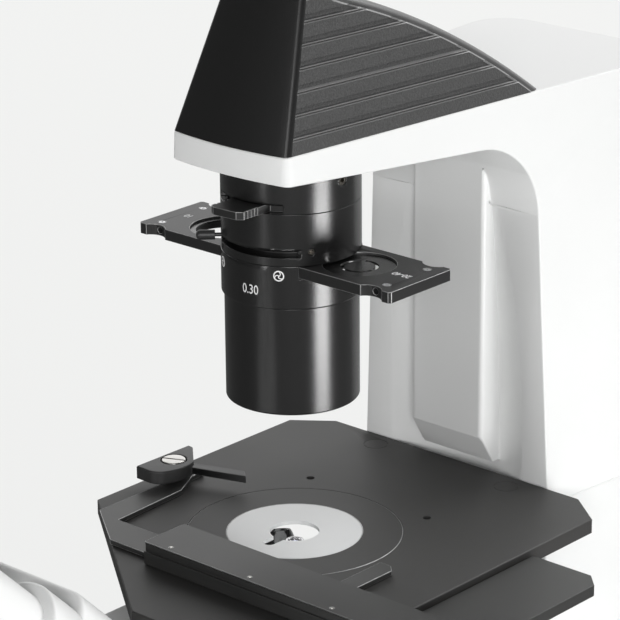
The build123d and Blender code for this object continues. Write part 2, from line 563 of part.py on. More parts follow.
def set_screw(r_face, angle, z, radius, length, socket):
    """Set screw with a hexagon socket, its face a little below the surface."""
    screw = radial_rod(r_face - length, r_face, angle, z, radius)
    key = Rot(0, 0, angle) * Pos(r_face - 1.0, 0, z) * Rot(0, 90, 0)
    return screw - key * extrude(RegularPolygon(socket, 6), 1.5, both=True)


def condenser_screws():
    return [
        set_screw(HOUSING_R - 0.5, GRUB_ANGLE, GRUB_Z, GRUB_R, 5.5, 1.4),
        set_screw(HOUSING_R - 0.8, STOP_ANGLE, STOP_Z, STOP_R, 3.2, 0.8),
    ]


def slider_z():
    return HOUSING_Z - SEAT_GAP - SLIDER_T


def phase_slider():
    """Slider plate with three light openings, waisted near both ends."""
    z0, z1, half = slider_z(), HOUSING_Z - SEAT_GAP, SLIDER_W / 2
    plate = block(-SLIDER_LEFT, SLIDER_RIGHT, -half, half, z0, z1)
    plate = chamfer(plate.edges().filter_by(Axis.Z), 1.2)
    plate -= rod(0, 0, z0 - 1, z1 + 1, SLIDER_HOLE_R)
    for side in (-1, 1):
        plate -= rod(side * SLIDER_PITCH, 0, z0 - 1, z1 + 1, SLIDER_HOLE_R)
        plate -= rod(side * SLIDER_PITCH, 0, z1 - SEAT_DEPTH, z1 + 1, SEAT_R)
        end = SLIDER_RIGHT if side > 0 else -SLIDER_LEFT
        waist_x = end - side * WAIST_FROM_END
        for edge in (-1, 1):
            y = edge * (half + WAIST_R - WAIST_DEPTH)
            plate -= rod(waist_x, y, z0 - 1, z1 + 1, WAIST_R)
            plate -= rod(side * SLIDER_SCREW_X, edge * SLIDER_SCREW_Y, z1 - 1.4, z1 + 1, SLIDER_SCREW_R + 0.1)
        key = Pos(waist_x, -half + 4, (z0 + z1) / 2) * Rot(90, 0, 0) * Cylinder(1.6, 12)
        plate -= key
    return plate


def phase_annulus():
    """Left: wide ring stop. Right: disc with a bright ring slit held by three webs."""
    z = HOUSING_Z - SEAT_GAP - SEAT_DEPTH
    left = tube(z, z + 1.0, SEAT_R - 0.1, 15.0, x=-SLIDER_PITCH)
    right = rod(0, 0, z, z + 1.0, SEAT_R - 0.1)
    for k in range(3):
        right -= sector(7.6, 9.3, 120 * k + 8, 120 * k + 112, z - 1, z + 2)
    return [left, Pos(SLIDER_PITCH, 0, 0) * right]


def slider_screws():
    z1 = HOUSING_Z - SEAT_GAP
    screws = []
    for side in (-1, 1):
        for edge in (-1, 1):
            x, y = side * SLIDER_SCREW_X, edge * SLIDER_SCREW_Y
            head = rod(x, y, z1 - 1.4, z1 - 0.1, SLIDER_SCREW_R)
            screws.append(head - block(x - 0.25, x + 0.25, y - 3, y + 3, z1 - 0.7, z1 + 1))
    return screws


# Arm, column and hood

def arm_half(y):
    """Half width of arm and hood at the seam between them."""
    return NOSE_HALF + FLANK_SPREAD * (y - NOSE_Y)


def bowed_outline(front_y, rear_y, narrow, bow):
    """Plan with a bowed front edge and straight flanks that spread to the rear."""
    front, rear = arm_half(front_y) - narrow, arm_half(rear_y) - narrow
    return make_face([
        ThreePointArc((-front, front_y), (0, front_y - bow), (front, front_y)),
        Line((front, front_y), (rear, rear_y)),
        Line((rear, rear_y), (-rear, rear_y)),
        Line((-rear, rear_y), (-front, front_y)),
    ])


def arm_column():
    plan = bowed_outline(NOSE_Y, ARM_REAR, 0.0, NOSE_BOW)
    plan = fillet(plan.vertices().group_by(Axis.Y)[0], 4.0)
    plan = fillet(plan.vertices().group_by(Axis.Y)[-1], 22.0)
    body = extrude(Pos(0, 0, SEAM_Z) * plan, SPLIT_Z - SEAM_Z, taper=-COLUMN_DRAFT)
    foot_front = COLUMN_FRONT + COLUMN_LEAN * (SCOOP_TOP - SPLIT_Z)
    far = BODY_REAR + 40
    side = [
        (-80, arm_underside(-80)), (COLUMN_FRONT, arm_underside(COLUMN_FRONT)),
        (COLUMN_FRONT, SCOOP_TOP), (foot_front, SPLIT_Z), (far, SPLIT_Z), (far, SEAM_Z), (-80, SEAM_Z),
    ]
    face = make_face(Plane.YZ * Polyline(*side, close=True))
    corner = Vertex(0, COLUMN_FRONT, arm_underside(COLUMN_FRONT))
    face = fillet(face.vertices().sort_by_distance(corner)[0], ARCH_R)
    body &= extrude(face, 150, both=True)
    scoop = Pos(0, COLUMN_FRONT + SCOOP_DEPTH - SCOOP_ARC, SCOOP_LOW) * Rot(0, 90, 0)
    scoop = scoop * Torus(SCOOP_ARC - SCOOP_R, SCOOP_R) & block(-200, 200, -20, 300, SPLIT_Z - 10, SCOOP_TOP)
    front = COLUMN_FRONT - PANEL_PROUD
    panel = side_prism([
        (front, PANEL_TOP), (front, PANEL_FOOT + PANEL_CHAMFER_Z), (front + PANEL_CHAMFER_Y, PANEL_FOOT),
        (front + 40, PANEL_FOOT), (front + 40, PANEL_TOP),
    ], PANEL_HALF)
    panel = fillet(panel.edges().filter_by(Axis.Z).group_by(Axis.Y)[0], 2.5)
    body = body - scoop + panel
    body -= rod(0, 0, 0, arm_underside(0) + 7.0, HOUSING_R + 0.4)
    return body - rod(0, 0, 0, SEAM_Z + 1, LAMP_HOLE_R)


def hood_body(inset):
    """Closed form of the hood, drawn in by an inset for its inner space."""
    rise = HOOD_TOP + 10 - SEAM_Z
    top_y = NOSE_Y + HOOD_FRONT_LEAN * rise
    narrow = HOOD_REVEAL + inset
    low = Pos(0, 0, SEAM_Z) * bowed_outline(NOSE_Y + narrow, HOOD_REAR, narrow, NOSE_BOW)
    high = bowed_outline(top_y + narrow, HOOD_REAR, narrow + HOOD_LEAN * rise, NOSE_BOW - 1)
    body = loft([low, Pos(0, 0, SEAM_Z + rise) * high], ruled=True)
    drop = inset
    ridge = ThreePointArc(
        (-45, HOOD_TOP + 8 - drop), (52, HOOD_TOP - 24 - drop), (HOOD_REAR - drop, SEAM_Z - 2)
    )
    under = [
        ridge,
        Line(ridge @ 1, (HOOD_REAR - drop, SEAM_Z - 20)),
        Line((HOOD_REAR - drop, SEAM_Z - 20), (-80, SEAM_Z - 20)),
        Line((-80, SEAM_Z - 20), (-80, HOOD_TOP - drop)),
        Line((-80, HOOD_TOP - drop), (-45, HOOD_TOP + 8 - drop)),
    ]
    face = make_face(Plane.YZ * Wire(under))
    body &= extrude(face, 120, both=True)
    return body & block(-120, 120, -80, 200, SEAM_Z, HOOD_TOP - drop)


def arm_hood():
    hood = hood_body(0.0)
    for k in range(RIB_COUNT):
        z = RIB_Z + RIB_PITCH * k
        narrow = HOOD_REVEAL + HOOD_LEAN * (z - SEAM_Z)
        y0, y1 = NOSE_Y + HOOD_FRONT_LEAN * (z - SEAM_Z) + RIB_START, HOOD_REAR + 10
        a, b = arm_half(y0) - narrow, arm_half(y1) - narrow
        for side in (-1, 1):
            groove = [
                (side * (a - RIB_DEPTH), y0), (side * (a + 20), y0),
                (side * (b + 20), y1), (side * (b - RIB_DEPTH), y1),
            ]
            hood -= Pos(0, 0, z - RIB_H / 2) * prism(groove, RIB_H)
    return hood - hood_body(HOOD_WALL)


def collector_lens():
    top = SEAM_Z
    radius = (COLLECTOR_R ** 2 + LENS_SAG ** 2) / 2 / LENS_SAG
    ball = Pos(0, 0, top - radius) * Sphere(radius)
    return (rod(0, 0, top - COLLECTOR_T, top, COLLECTOR_R) & ball) + rod(
        0, 0, arm_underside(0) + 7.0, top - COLLECTOR_T + 0.5, COLLECTOR_R)


def lamp_socket():
    """Bracket that stands on the arm over the lens and holds the bulb head down."""
    h, t = SOCKET_HALF, SOCKET_PLATE
    bracket = block(-h - t, h + t, -12, 12, SOCKET_TOP, SOCKET_TOP + t)
    for side in (-1, 1):
        x0, x1 = sorted((side * h, side * (h + t)))
        bracket += block(x0, x1, -12, 12, SEAM_Z, SOCKET_TOP)
        f0, f1 = sorted((side * (h - 0.6), side * (h + 6)))
        bracket += block(f0, f1, -12, 12, SEAM_Z, SEAM_Z + t)
    return bracket + rod(0, 0, SOCKET_TOP - 10, SOCKET_TOP, 9)


def lamp_bulb():
    top = SOCKET_TOP - 10
    bulb = rod(0, 0, top - BULB_LEN, top, BULB_R)
    return fillet(bulb.edges().filter_by(GeomType.CIRCLE).group_by(Axis.Z)[0], BULB_R - 1)


# Nosepiece

def turret_frame(turn=0.0):
    """Frame with its origin at the meeting point of all objective axes, Z up the turret axis."""
    apex = SHOULDER_Z - STATION_R / sin(radians(TURRET_TILT))
    return Pos(0, 0, apex) * Rot(-TURRET_TILT, 0, 0) * Rot(0, 0, turn)


def station(k):
    """Frame of one objective: Z along its axis, origin on its shoulder."""
    reach = STATION_R / sin(radians(TURRET_TILT))
    return turret_frame(360 / TURRET_STATIONS * k) * Rot(TURRET_TILT, 0, 0) * Pos(0, 0, reach)


def turret_level():
    """Distance from the meeting point of the axes to the turret face."""
    return STATION_R / tan(radians(TURRET_TILT))


def turret():
    top = turret_level() - 4.0
    body = turret_frame() * Pos(0, 0, top - TURRET_H / 2) * Cylinder(TURRET_R, TURRET_H)
    for k in range(TURRET_STATIONS):
        body += station(k) * Pos(0, 0, -6) * Cylinder(12.6, 12)
    body &= turret_frame() * Pos(0, 0, top - TURRET_H + 20) * Cylinder(TURRET_R, 40)
    grooves = 48
    for k in range(grooves):
        notch = Pos(TURRET_R, 0, top - TURRET_H / 2) * Cylinder(0.8, TURRET_H - 3)
        body -= turret_frame(360 / grooves * k) * notch
    for k in range(TURRET_STATIONS):
        body -= station(k) * Pos(0, 0, -THREAD_L / 2 + 0.5) * Cylinder(THREAD_R + 0.05, THREAD_L + 1.2)
        body -= station(k) * Pos(0, 0, -15) * Cylinder(LIGHT_R, 40)
    return body - turret_frame() * Pos(0, 0, top) * Cylinder(6.0 + RUN_GAP, 60)


def nosepiece_base():
    """Tilted bearing under the turret, with the stub shaft that it turns on."""
    low = turret_level() - 4.0 - TURRET_H - SEAT_GAP
    centre_y = (low - 12) * sin(radians(TURRET_TILT))
    base = rod(0, centre_y, CARRIER_TOP, 0, 34)
    base -= turret_frame() * Pos(0, 0, low + 100) * Cylinder(200, 200)
    stub = turret_frame() * Pos(0, 0, low + TURRET_H / 2 - 2) * Cylinder(6.0, TURRET_H + 4)
    cap = turret_frame() * Pos(0, 0, low + TURRET_H + SEAT_GAP + 1.0) * Cylinder(6.0, 3)
    base = base + stub + cap
    return base - rod(0, 0, CARRIER_TOP - 1, 0, LIGHT_R)


def objective(k, length, tip_r, body_r, ring_z):
    """Objective turned from one profile: thread, knurl, colour ring groove and cone to the tip."""
    groove = 0.5
    profile = [
        (LIGHT_R - 1, -THREAD_L), (THREAD_R, -THREAD_L), (THREAD_R, 0), (body_r, 0), (body_r, 6),
        (body_r - 0.6, 6), (body_r - 0.6, 8), (body_r, 8), (body_r, ring_z),
        (body_r - groove, ring_z), (body_r - groove, ring_z + 2.4), (body_r, ring_z + 2.4),
        (body_r, length * 0.72), (tip_r + 2.2, length - 6), (tip_r + 1, length - 2), (tip_r, length),
        (tip_r - 1.2, length), (tip_r - 1.6, length - 1.4), (0, length - 1.4), (0, length - 8),
        (LIGHT_R - 1, length - 14),
    ]
    return station(k) * turned(profile)


def dust_plug(k):
    profile = [
        (0, -THREAD_L), (THREAD_R, -THREAD_L), (THREAD_R, 0), (12.4, 0), (12.4, 3.5), (11.4, 5), (0, 5),
    ]
    return station(k) * turned(profile)


# Focus drive

def focus_radius():
    return FOCUS_MODULE * FOCUS_TEETH / 2


def rack_line():
    return SLIDE_Y - 2.5


def focus_y():
    """The pinion shaft lies one pitch radius in front of the rack's pitch line."""
    return rack_line() - focus_radius()


def focus_way():
    """Dovetail rail on the front of the rear tower."""
    y0, y1 = WAY_Y, WAY_Y + WAY_DEPTH
    low, high = SLIDE_BOTTOM + 4, CARRIER_TOP - 4
    profile = [(-WAY_FRONT_HALF, y0), (WAY_FRONT_HALF, y0), (WAY_BACK_HALF, y1), (-WAY_BACK_HALF, y1)]
    rail = Pos(0, 0, low) * prism(profile, high - low)
    return rail + block(-22, 22, y1, tower_front(), low, high)


def focus_carrier():
    """Slide with its rack, and the shelf that carries the nosepiece."""
    y_back = WAY_Y + WAY_DEPTH - SEAT_GAP
    slide = block(-SLIDE_HALF, SLIDE_HALF, SLIDE_Y, y_back, SLIDE_BOTTOM, CARRIER_TOP)
    g = RUN_GAP + 0.03
    groove = [
        (-WAY_FRONT_HALF - g, WAY_Y - g), (WAY_FRONT_HALF + g, WAY_Y - g),
        (WAY_BACK_HALF + g, y_back + 1), (-WAY_BACK_HALF - g, y_back + 1),
    ]
    slide -= Pos(0, 0, SLIDE_BOTTOM - 1) * prism(groove, CARRIER_TOP - SLIDE_BOTTOM + 2)
    shelf = block(-CARRIER_HALF, CARRIER_HALF, -26, SLIDE_Y + 6, CARRIER_TOP - CARRIER_T, CARRIER_TOP)
    shelf = fillet(shelf.edges().filter_by(Axis.Z).group_by(Axis.Y)[0], 20)
    shelf -= rod(0, 0, CARRIER_TOP - CARRIER_T - 1, CARRIER_TOP + 1, LIGHT_R + 2)
    gusset = side_prism([
        (SLIDE_Y - 26, CARRIER_TOP - CARRIER_T), (SLIDE_Y, CARRIER_TOP - CARRIER_T - 12),
        (SLIDE_Y, CARRIER_TOP - CARRIER_T),
    ], 3)
    for x in (-20, 20):
        shelf += Pos(x, 0, 0) * gusset
    teeth = rack_outline(FOCUS_MODULE, SLIDE_BOTTOM + 4, FOCUS_Z + 24, 0, -2.5, FOCUS_Z)
    rack = side_prism([(rack_line() - y, z) for z, y in teeth], 7)
    return slide + shelf + rack


def knob_pair(profile_radius, inner, outer, flutes):
    """The same knob on both sides of the body."""
    knobs = []
    for side in (-1, 1):
        x = side * (inner + outer) / 2
        knob = fluted(profile_radius, outer - inner, flutes, 0.7)
        knobs.append(Pos(x, focus_y(), FOCUS_Z) * Rot(0, 90, 0) * knob)
    return knobs


def coarse_knobs():
    """Both coarse knobs, joined by the hollow shaft with the focus pinion."""
    inner, y = CHEEK_HALF + 1.0, focus_y()
    left, right = knob_pair(COARSE_R, inner, inner + COARSE_W, 40)
    body = left + right + cross_rod(-inner, inner, y, FOCUS_Z, SLEEVE_R)
    gear = involute_gear(FOCUS_MODULE, FOCUS_TEETH, 16, SLEEVE_R - 1.5)
    body += Pos(-8, y, FOCUS_Z) * Rot(0, 90, 0) * Rot(0, 0, 90 + 180 / FOCUS_TEETH) * gear
    body -= cross_rod(-200, 200, y, FOCUS_Z, FINE_SHAFT_R + RUN_GAP)
    for side in (-1, 1):
        a, b = sorted((side * (inner + COARSE_W - 3), side * (inner + COARSE_W + 1)))
        body -= cross_rod(a, b, y, FOCUS_Z, FINE_R + 3)
    return body


def fine_knobs():
    """Both fine knobs on the shaft that runs inside the coarse one."""
    start = CHEEK_HALF + 1.0 + COARSE_W - 3 + SEAT_GAP
    left, right = knob_pair(FINE_R, start, FINE_END, 30)
    return left + right + cross_rod(-start, start, focus_y(), FOCUS_Z, FINE_SHAFT_R)


def tension_ring():
    """Friction ring between the right coarse knob and the body."""
    ring = cross_rod(CHEEK_HALF - 7, CHEEK_HALF + 0.6, focus_y(), FOCUS_Z, 20)
    return ring - cross_rod(CHEEK_HALF - 8, CHEEK_HALF + 2, focus_y(), FOCUS_Z, SLEEVE_R + RUN_GAP)


# Base

def tower_front():
    return COLUMN_FRONT + COLUMN_LEAN * (SCOOP_TOP - SPLIT_Z)


def rear_half(z):
    """Half width of the rear tower at the front, where the column's draft carries on."""
    return arm_half(COLUMN_FRONT) + tan(radians(COLUMN_DRAFT)) * (SEAM_Z - z)


def head_face_at_y(y):
    """Point (y, z) of the sloping face under the head at a given y."""
    pitch, reach = radians(HEAD_PITCH), HEAD_START - COLLAR_H
    along = (y - HEAD_Y + sin(pitch) * reach) / cos(pitch)
    return (y, HEAD_Z + cos(pitch) * reach + sin(pitch) * along)


def head_face_at_z(z):
    """Point (y, z) of the same face at a given height."""
    pitch, reach = radians(HEAD_PITCH), HEAD_START - COLLAR_H
    along = (z - HEAD_Z - cos(pitch) * reach) / sin(pitch)
    return (HEAD_Y - sin(pitch) * reach + cos(pitch) * along, z)


def base_shell():
    """White body: foot slab, front tower under the head, light-path hump and rear tower."""
    foot_z, y0 = TABLE + FOOT_H, tower_front()
    slab = block(-SLAB_HALF, SLAB_HALF, -SLAB_FRONT, BODY_REAR, foot_z, SLAB_TOP)
    slab = fillet(slab.edges().filter_by(Axis.Z).group_by(Axis.Y)[0], 40)
    slab = fillet(slab.edges().filter_by(Axis.Z).group_by(Axis.Y)[-1], 20)
    slab = fillet(slab.faces().sort_by(Axis.Z)[-1].edges(), 8)
    tower = side_prism([
        (-TOWER_FRONT - 4, foot_z + 20), head_face_at_y(-TOWER_FRONT), head_face_at_z(TOWER_TOP),
        (-TOWER_REAR, TOWER_TOP), (-TOWER_REAR, foot_z + 20),
    ], TOWER_HALF + 6)
    tower = fillet(tower.edges().filter_by(Axis.Z).group_by(Axis.Y)[-1], 10)
    hump = block(-CARRIER_HALF, CARRIER_HALF, -TOWER_REAR - 10, 30, foot_z + 20, PATH_Z + 26)
    hump = fillet(hump.faces().sort_by(Axis.Z)[-1].edges(), 6)
    cheeks = block(-CHEEK_HALF, CHEEK_HALF, BLOCK_FRONT, y0 + 30, foot_z + 20, BLOCK_TOP)
    cheeks = fillet(cheeks.edges().filter_by(Axis.X).group_by(Axis.Z)[-1], 10)
    cheeks = fillet(cheeks.edges().filter_by(Axis.Z).group_by(Axis.Y)[0], 8)
    plan = make_face(Polyline(*[
        (-rear_half(SPLIT_Z), y0), (rear_half(SPLIT_Z), y0),
        (rear_half(SPLIT_Z) + 9, ARM_REAR + 9.8), (-rear_half(SPLIT_Z) - 9, ARM_REAR + 9.8),
    ], close=True))
    plan = fillet(plan.vertices().group_by(Axis.Y)[-1], 22.0)
    rear = extrude(Pos(0, 0, SPLIT_Z) * plan, foot_z + 20 - SPLIT_Z)
    ledge = block(-58, 58, 96, y0 - SEAT_GAP, -STAGE_T - 16, -STAGE_T)
    ledge += block(-58, 58, y0 - 10, y0 + 5, -STAGE_T - 16, SPLIT_Z)
    collar = head_frame() * Pos(0, 0, HEAD_START / 2 - 8) * Cylinder(COLLAR_R, HEAD_START + 16)
    body = slab + tower + hump + cheeks + rear + ledge + collar
    for x in (-POST_X, POST_X):
        body += rod(x, -POST_Y, TOWER_TOP - 1, -STAGE_T, POST_R)
    body -= block(-WELL_HALF, WELL_HALF, WELL_FRONT, y0, WELL_BOTTOM, -STAGE_T - 17)
    body -= rod(0, 0, PATH_Z - PATH_R, PATH_Z + 40, PATH_R)
    body -= Pos(0, HEAD_Y / 2, PATH_Z) * Rot(90, 0, 0) * Cylinder(CROSS_R, -HEAD_Y)
    body -= rod(0, HEAD_Y, PATH_Z - PATH_R, HEAD_Z, PATH_R)
    body -= head_frame() * Pos(0, 0, HEAD_START / 2) * Cylinder(CROSS_R, HEAD_START + 20)
    body -= cross_rod(-200, 200, focus_y(), FOCUS_Z, SLEEVE_R + RUN_GAP)
    body -= cross_rod(CHEEK_HALF - 7.3, CHEEK_HALF + 5, focus_y(), FOCUS_Z, 20.3)
    return body


def bottom_plate():
    plate = block(-SLAB_HALF + 4, SLAB_HALF - 4, -SLAB_FRONT + 4, BODY_REAR - 4,
                  TABLE + FOOT_H - PLATE_T, TABLE + FOOT_H)
    return fillet(plate.edges().filter_by(Axis.Z), 30)


def rubber_feet():
    feet = []
    for x in (-SLAB_HALF + 28, SLAB_HALF - 28):
        for y in (-SLAB_FRONT + 36, BODY_REAR - 32):
            foot = rod(x, y, TABLE, TABLE + FOOT_H - PLATE_T, FOOT_R)
            feet.append(chamfer(foot.edges().filter_by(GeomType.CIRCLE).group_by(Axis.Z)[0], 1.5))
    return feet


def path_mirrors():
    """Two mirrors that fold the light forward under the stage and up to the head."""
    mirrors = []
    for y, tilt in ((0.0, 45.0), (HEAD_Y, -45.0)):
        plate = Pos(0, y, PATH_Z) * Rot(tilt, 0, 0) * Box(2 * PATH_R - 7, 2 * PATH_R - 7, 2.5)
        mirrors.append(plate)
    return mirrors


# Binocular head

def head_frame():
    return Pos(0, HEAD_Y, HEAD_Z) * Rot(HEAD_PITCH, 0, 0)


def head_housing():
    body = Pos(0, 0, HEAD_START + HEAD_LEN / 2) * Box(2 * HEAD_HALF_W, 2 * HEAD_HALF_T, HEAD_LEN)
    body = fillet(body.edges().filter_by(Axis.Z), 14)
    body = fillet(body.faces().sort_by(Axis.Z)[-1].edges(), 3)
    return head_frame() * (body - Pos(0, 0, HEAD_START) * Cylinder(CROSS_R, 60))


def eye_tube(side):
    """Prism box that swings about the head axis, with the tube that takes the eyepiece."""
    z0 = HEAD_START + HEAD_LEN + SEAT_GAP
    near, far = 18.0, EYE_HALF
    rounds = (Pos(side * near, 0) * Circle(13)).edges() + (Pos(side * far, 0) * Circle(EYE_BOX_R - 1)).edges()
    arm = Pos(0, 0, z0) * extrude(make_hull(rounds), EYE_BOX_T, dir=(0, 0, 1))
    arm = fillet(arm.faces().sort_by(Axis.Z)[-1].edges(), 2.0)
    pipe_len = EYE_TUBE_END - z0
    pipe = Pos(side * far, 0, z0 + pipe_len / 2) * Cylinder(EYE_TUBE_R, pipe_len)
    bore = Pos(side * far, 0, EYE_TUBE_END) * Cylinder(EYE_SLEEVE_R + 0.05, 90)
    return head_frame() * (arm + pipe - bore)


def eyepiece(side):
    """Eyepiece with its sleeve in the tube, a waist and the eyecup rim."""
    r, start, end = EYEPIECE_R, EYE_TUBE_END + SEAT_GAP, EYEPIECE_END
    collar = 20.0 if side < 0 else 0.0
    profile = [
        (EYE_SLEEVE_R - 2, start - 30), (EYE_SLEEVE_R, start - 30), (EYE_SLEEVE_R, start + collar),
        (r - 1.5, start + collar), (r, start + collar + 1.5), (r, end - 44), (r - 3, end - 40), (r - 3, end - 26),
        (r - 1, end - 22), (r - 1, end - 16), (r - 5, end - 16), (r - 5, end - 18), (EYE_SLEEVE_R - 2, end - 22),
    ]
    return head_frame() * Pos(side * EYE_HALF, 0, 0) * turned(profile)


def eyecup(side):
    r, end = EYEPIECE_R, EYEPIECE_END
    profile = [
        (r - 5, end - 16), (r - 1, end - 16), (r + 0.5, end - 4), (r - 1, end - 1), (r - 3, end),
        (r - 5, end - 2), (r - 3.5, end - 6),
    ]
    return head_frame() * Pos(side * EYE_HALF, 0, 0) * turned(profile)


def diopter_ring():
    """Left tube's sight adjustment ring round the eyepiece sleeve."""
    start = EYE_TUBE_END + SEAT_GAP
    ring = Pos(0, 0, start + 9.7) * fluted(EYEPIECE_R, 19.4, 30, 0.6)
    ring -= Pos(0, 0, start + 9.7) * Cylinder(EYE_SLEEVE_R + RUN_GAP, 25)
    return head_frame() * Pos(-EYE_HALF, 0, 0) * ring


# Controls on the base

def brightness_dial():
    """Lamp brightness wheel on the right flank of the slab."""
    middle = SLAB_HALF + SEAT_GAP + DIAL_W / 2
    dial = Pos(middle, CONTROL_Y, CONTROL_Z) * Rot(0, 90, 0) * fluted(DIAL_R, DIAL_W, 28, 0.6)
    return dial + cross_rod(SLAB_HALF - 8, SLAB_HALF + 0.4, CONTROL_Y, CONTROL_Z, 3)


def rocker_switch():
    """Rocker in its frame on the left flank of the slab, pivoted along Y."""
    x = -SLAB_HALF
    rocker = prism([(x - 2.6, -9), (x - 1.2, 0), (x - 2.6, 9), (x + 5, 6), (x + 5, -6)], 12,
                   Plane.XZ, both=True)
    return Pos(0, CONTROL_Y, CONTROL_Z) * rocker


def power_inlet():
    """Mains inlet in the rear face with its three pins."""
    y, z, wall = BODY_REAR, INLET_Z, 2.5
    body = block(-INLET_HALF, INLET_HALF, y - SOCKET_DEPTH, y, z - INLET_H, z + INLET_H)
    body -= block(-INLET_HALF + wall, INLET_HALF - wall, y - 12, y + 1, z - INLET_H + wall, z + INLET_H - wall)
    for x, dz in ((-7, -1.5), (0, 2.5), (7, -1.5)):
        body += block(x - 1, x + 1, y - 13, y - 3, z + dz - 2, z + dz + 2)
    return body


def fuse_drawer():
    return block(FUSE_LEFT, FUSE_RIGHT, BODY_REAR - SOCKET_DEPTH, BODY_REAR, INLET_Z - FUSE_H, INLET_Z + FUSE_H)


def base_with_controls():
    body = base_shell()
    body -= cross_rod(SLAB_HALF - 8.3, SLAB_HALF + 1, CONTROL_Y, CONTROL_Z, 3 + RUN_GAP)
    body -= block(-SLAB_HALF - 1, -SLAB_HALF + 9, CONTROL_Y - 12.6, CONTROL_Y + 12.6, CONTROL_Z - 11, CONTROL_Z + 11)
    y0, y1, z = BODY_REAR - SOCKET_DEPTH, BODY_REAR + 1, INLET_Z
    body -= block(-INLET_HALF, INLET_HALF, y0, y1, z - INLET_H, z + INLET_H)
    return body - block(FUSE_LEFT, FUSE_RIGHT, y0, y1, z - FUSE_H, z + FUSE_H)


OBJECTIVES = {
    "objective_20x": (0, TIP_Z - SHOULDER_Z, 4.6, 12.0, 18.0),
    "objective_40x": (1, TIP_Z - SHOULDER_Z + 0.3, 4.2, 12.0, 18.0),
    "objective_4x": (3, 28.0, 7.5, 12.0, 14.0),
    "objective_10x": (4, 36.0, 6.2, 12.0, 17.0),
}

NODES = {
    "base_shell": base_with_controls,
    "bottom_plate": bottom_plate,
    "rubber_feet": rubber_feet,
    "arm_column": arm_column,
    "arm_hood": arm_hood,
    "lamp_socket": lamp_socket,
    "lamp_bulb": lamp_bulb,
    "collector_lens": collector_lens,
    "field_ring": field_ring,
    "field_lever": field_lever,
    "condenser_housing": condenser_housing,
    "aperture_ring": aperture_ring,
    "iris_blades": iris_blades,
    "aperture_pin": aperture_pin,
    "aperture_cap": aperture_cap,
    "slider_ring": slider_ring,
    "phase_slider": phase_slider,
    "phase_annulus": phase_annulus,
    "slider_screws": slider_screws,
    "condenser_barrel": condenser_barrel,
    "condenser_lens": condenser_lens,
    "condenser_screws": condenser_screws,
    "stage_plate": stage_plate,
    "stage_ring": stage_ring,
    "stage_disc": stage_disc,
    "stage_plugs": stage_plugs,
    "y_guide": y_guide,
    "y_carriage": y_carriage,
    "x_rail": x_rail,
    "rail_cover": rail_cover,
    "cover_screws": cover_screws,
    "belt_drive": lambda: [drive_belt(), idler_pulley()],
    "x_slider": x_slider,
    "specimen_holder": specimen_holder,
    "stage_clip": stage_clip,
    "clip_screw": clip_screw,
    "y_knob": y_knob,
    "x_knob": x_knob,
    "focus_way": focus_way,
    "focus_carrier": focus_carrier,
    "nosepiece_base": nosepiece_base,
    "turret": turret,
    "dust_plug": lambda: dust_plug(2),
    "coarse_knobs": coarse_knobs,
    "fine_knobs": fine_knobs,
    "tension_ring": tension_ring,
    "path_mirrors": path_mirrors,
    "head_housing": head_housing,
    "left_tube": lambda: eye_tube(-1),
    "right_tube": lambda: eye_tube(1),
    "left_eyepiece": lambda: [eyepiece(-1), eyecup(-1)],
    "right_eyepiece": lambda: [eyepiece(1), eyecup(1)],
    "diopter_ring": diopter_ring,
    "brightness_dial": brightness_dial,
    "rocker_switch": rocker_switch,
    "power_inlet": lambda: [power_inlet(), fuse_drawer()],
}

os.makedirs("parts", exist_ok=True)
to_table = Pos(0, AXIS_FROM_MIDDLE, STAGE_HEIGHT)


def write(name, shape):
    pieces = shape if isinstance(shape, list) else [shape]
    solids = [solid for piece in pieces for solid in (to_table * piece).solids()]
    export_step(Compound(children=solids), f"parts/{name}.step")


for name, make in NODES.items():
    write(name, make())
for name, (k, length, tip_r, body_r, ring_z) in OBJECTIVES.items():
    write(name, objective(k, length, tip_r, body_r, ring_z))
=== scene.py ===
"""Dresses the inverted microscope: finishes, rounded edges, ribs, screws, bands and figures."""

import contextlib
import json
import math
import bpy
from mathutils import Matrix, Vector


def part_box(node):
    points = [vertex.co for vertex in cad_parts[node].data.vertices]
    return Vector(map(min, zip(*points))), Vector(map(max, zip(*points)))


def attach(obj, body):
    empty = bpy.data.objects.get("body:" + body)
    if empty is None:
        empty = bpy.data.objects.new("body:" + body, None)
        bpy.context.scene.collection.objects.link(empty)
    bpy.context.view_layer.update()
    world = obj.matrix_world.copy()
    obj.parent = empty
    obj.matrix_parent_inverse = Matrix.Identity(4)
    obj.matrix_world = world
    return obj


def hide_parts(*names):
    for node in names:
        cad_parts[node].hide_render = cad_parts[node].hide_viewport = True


bl_info = {
    "name": "Inverted microscope dressing",
    "version": (1, 0, 0),
    "blender": (4, 5, 0),
    "location": "View3D > Sidebar > Microscope",
    "description": "Builds the visible surfaces of an inverted microscope over its solid parts",
    "category": "Object",
}

import bmesh
import bpy
from mathutils import Matrix, Vector

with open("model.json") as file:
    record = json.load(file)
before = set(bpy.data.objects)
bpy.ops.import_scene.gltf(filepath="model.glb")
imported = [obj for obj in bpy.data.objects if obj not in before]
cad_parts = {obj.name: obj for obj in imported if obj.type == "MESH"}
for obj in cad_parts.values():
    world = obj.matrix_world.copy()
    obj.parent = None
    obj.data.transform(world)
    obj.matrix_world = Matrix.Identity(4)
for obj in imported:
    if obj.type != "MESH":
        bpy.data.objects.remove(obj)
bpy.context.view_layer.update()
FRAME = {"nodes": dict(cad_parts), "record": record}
RECORD = FRAME["record"]
BODIES = RECORD["behaviour"]["bodies"]
BODY_OF = {node: body for body, nodes in BODIES.items() for node in nodes}

# The optical axis meets the stage top here. Sizes below are millimetres from this point.
STAGE_TOP = Vector((0.0, 0.0495, 0.243))


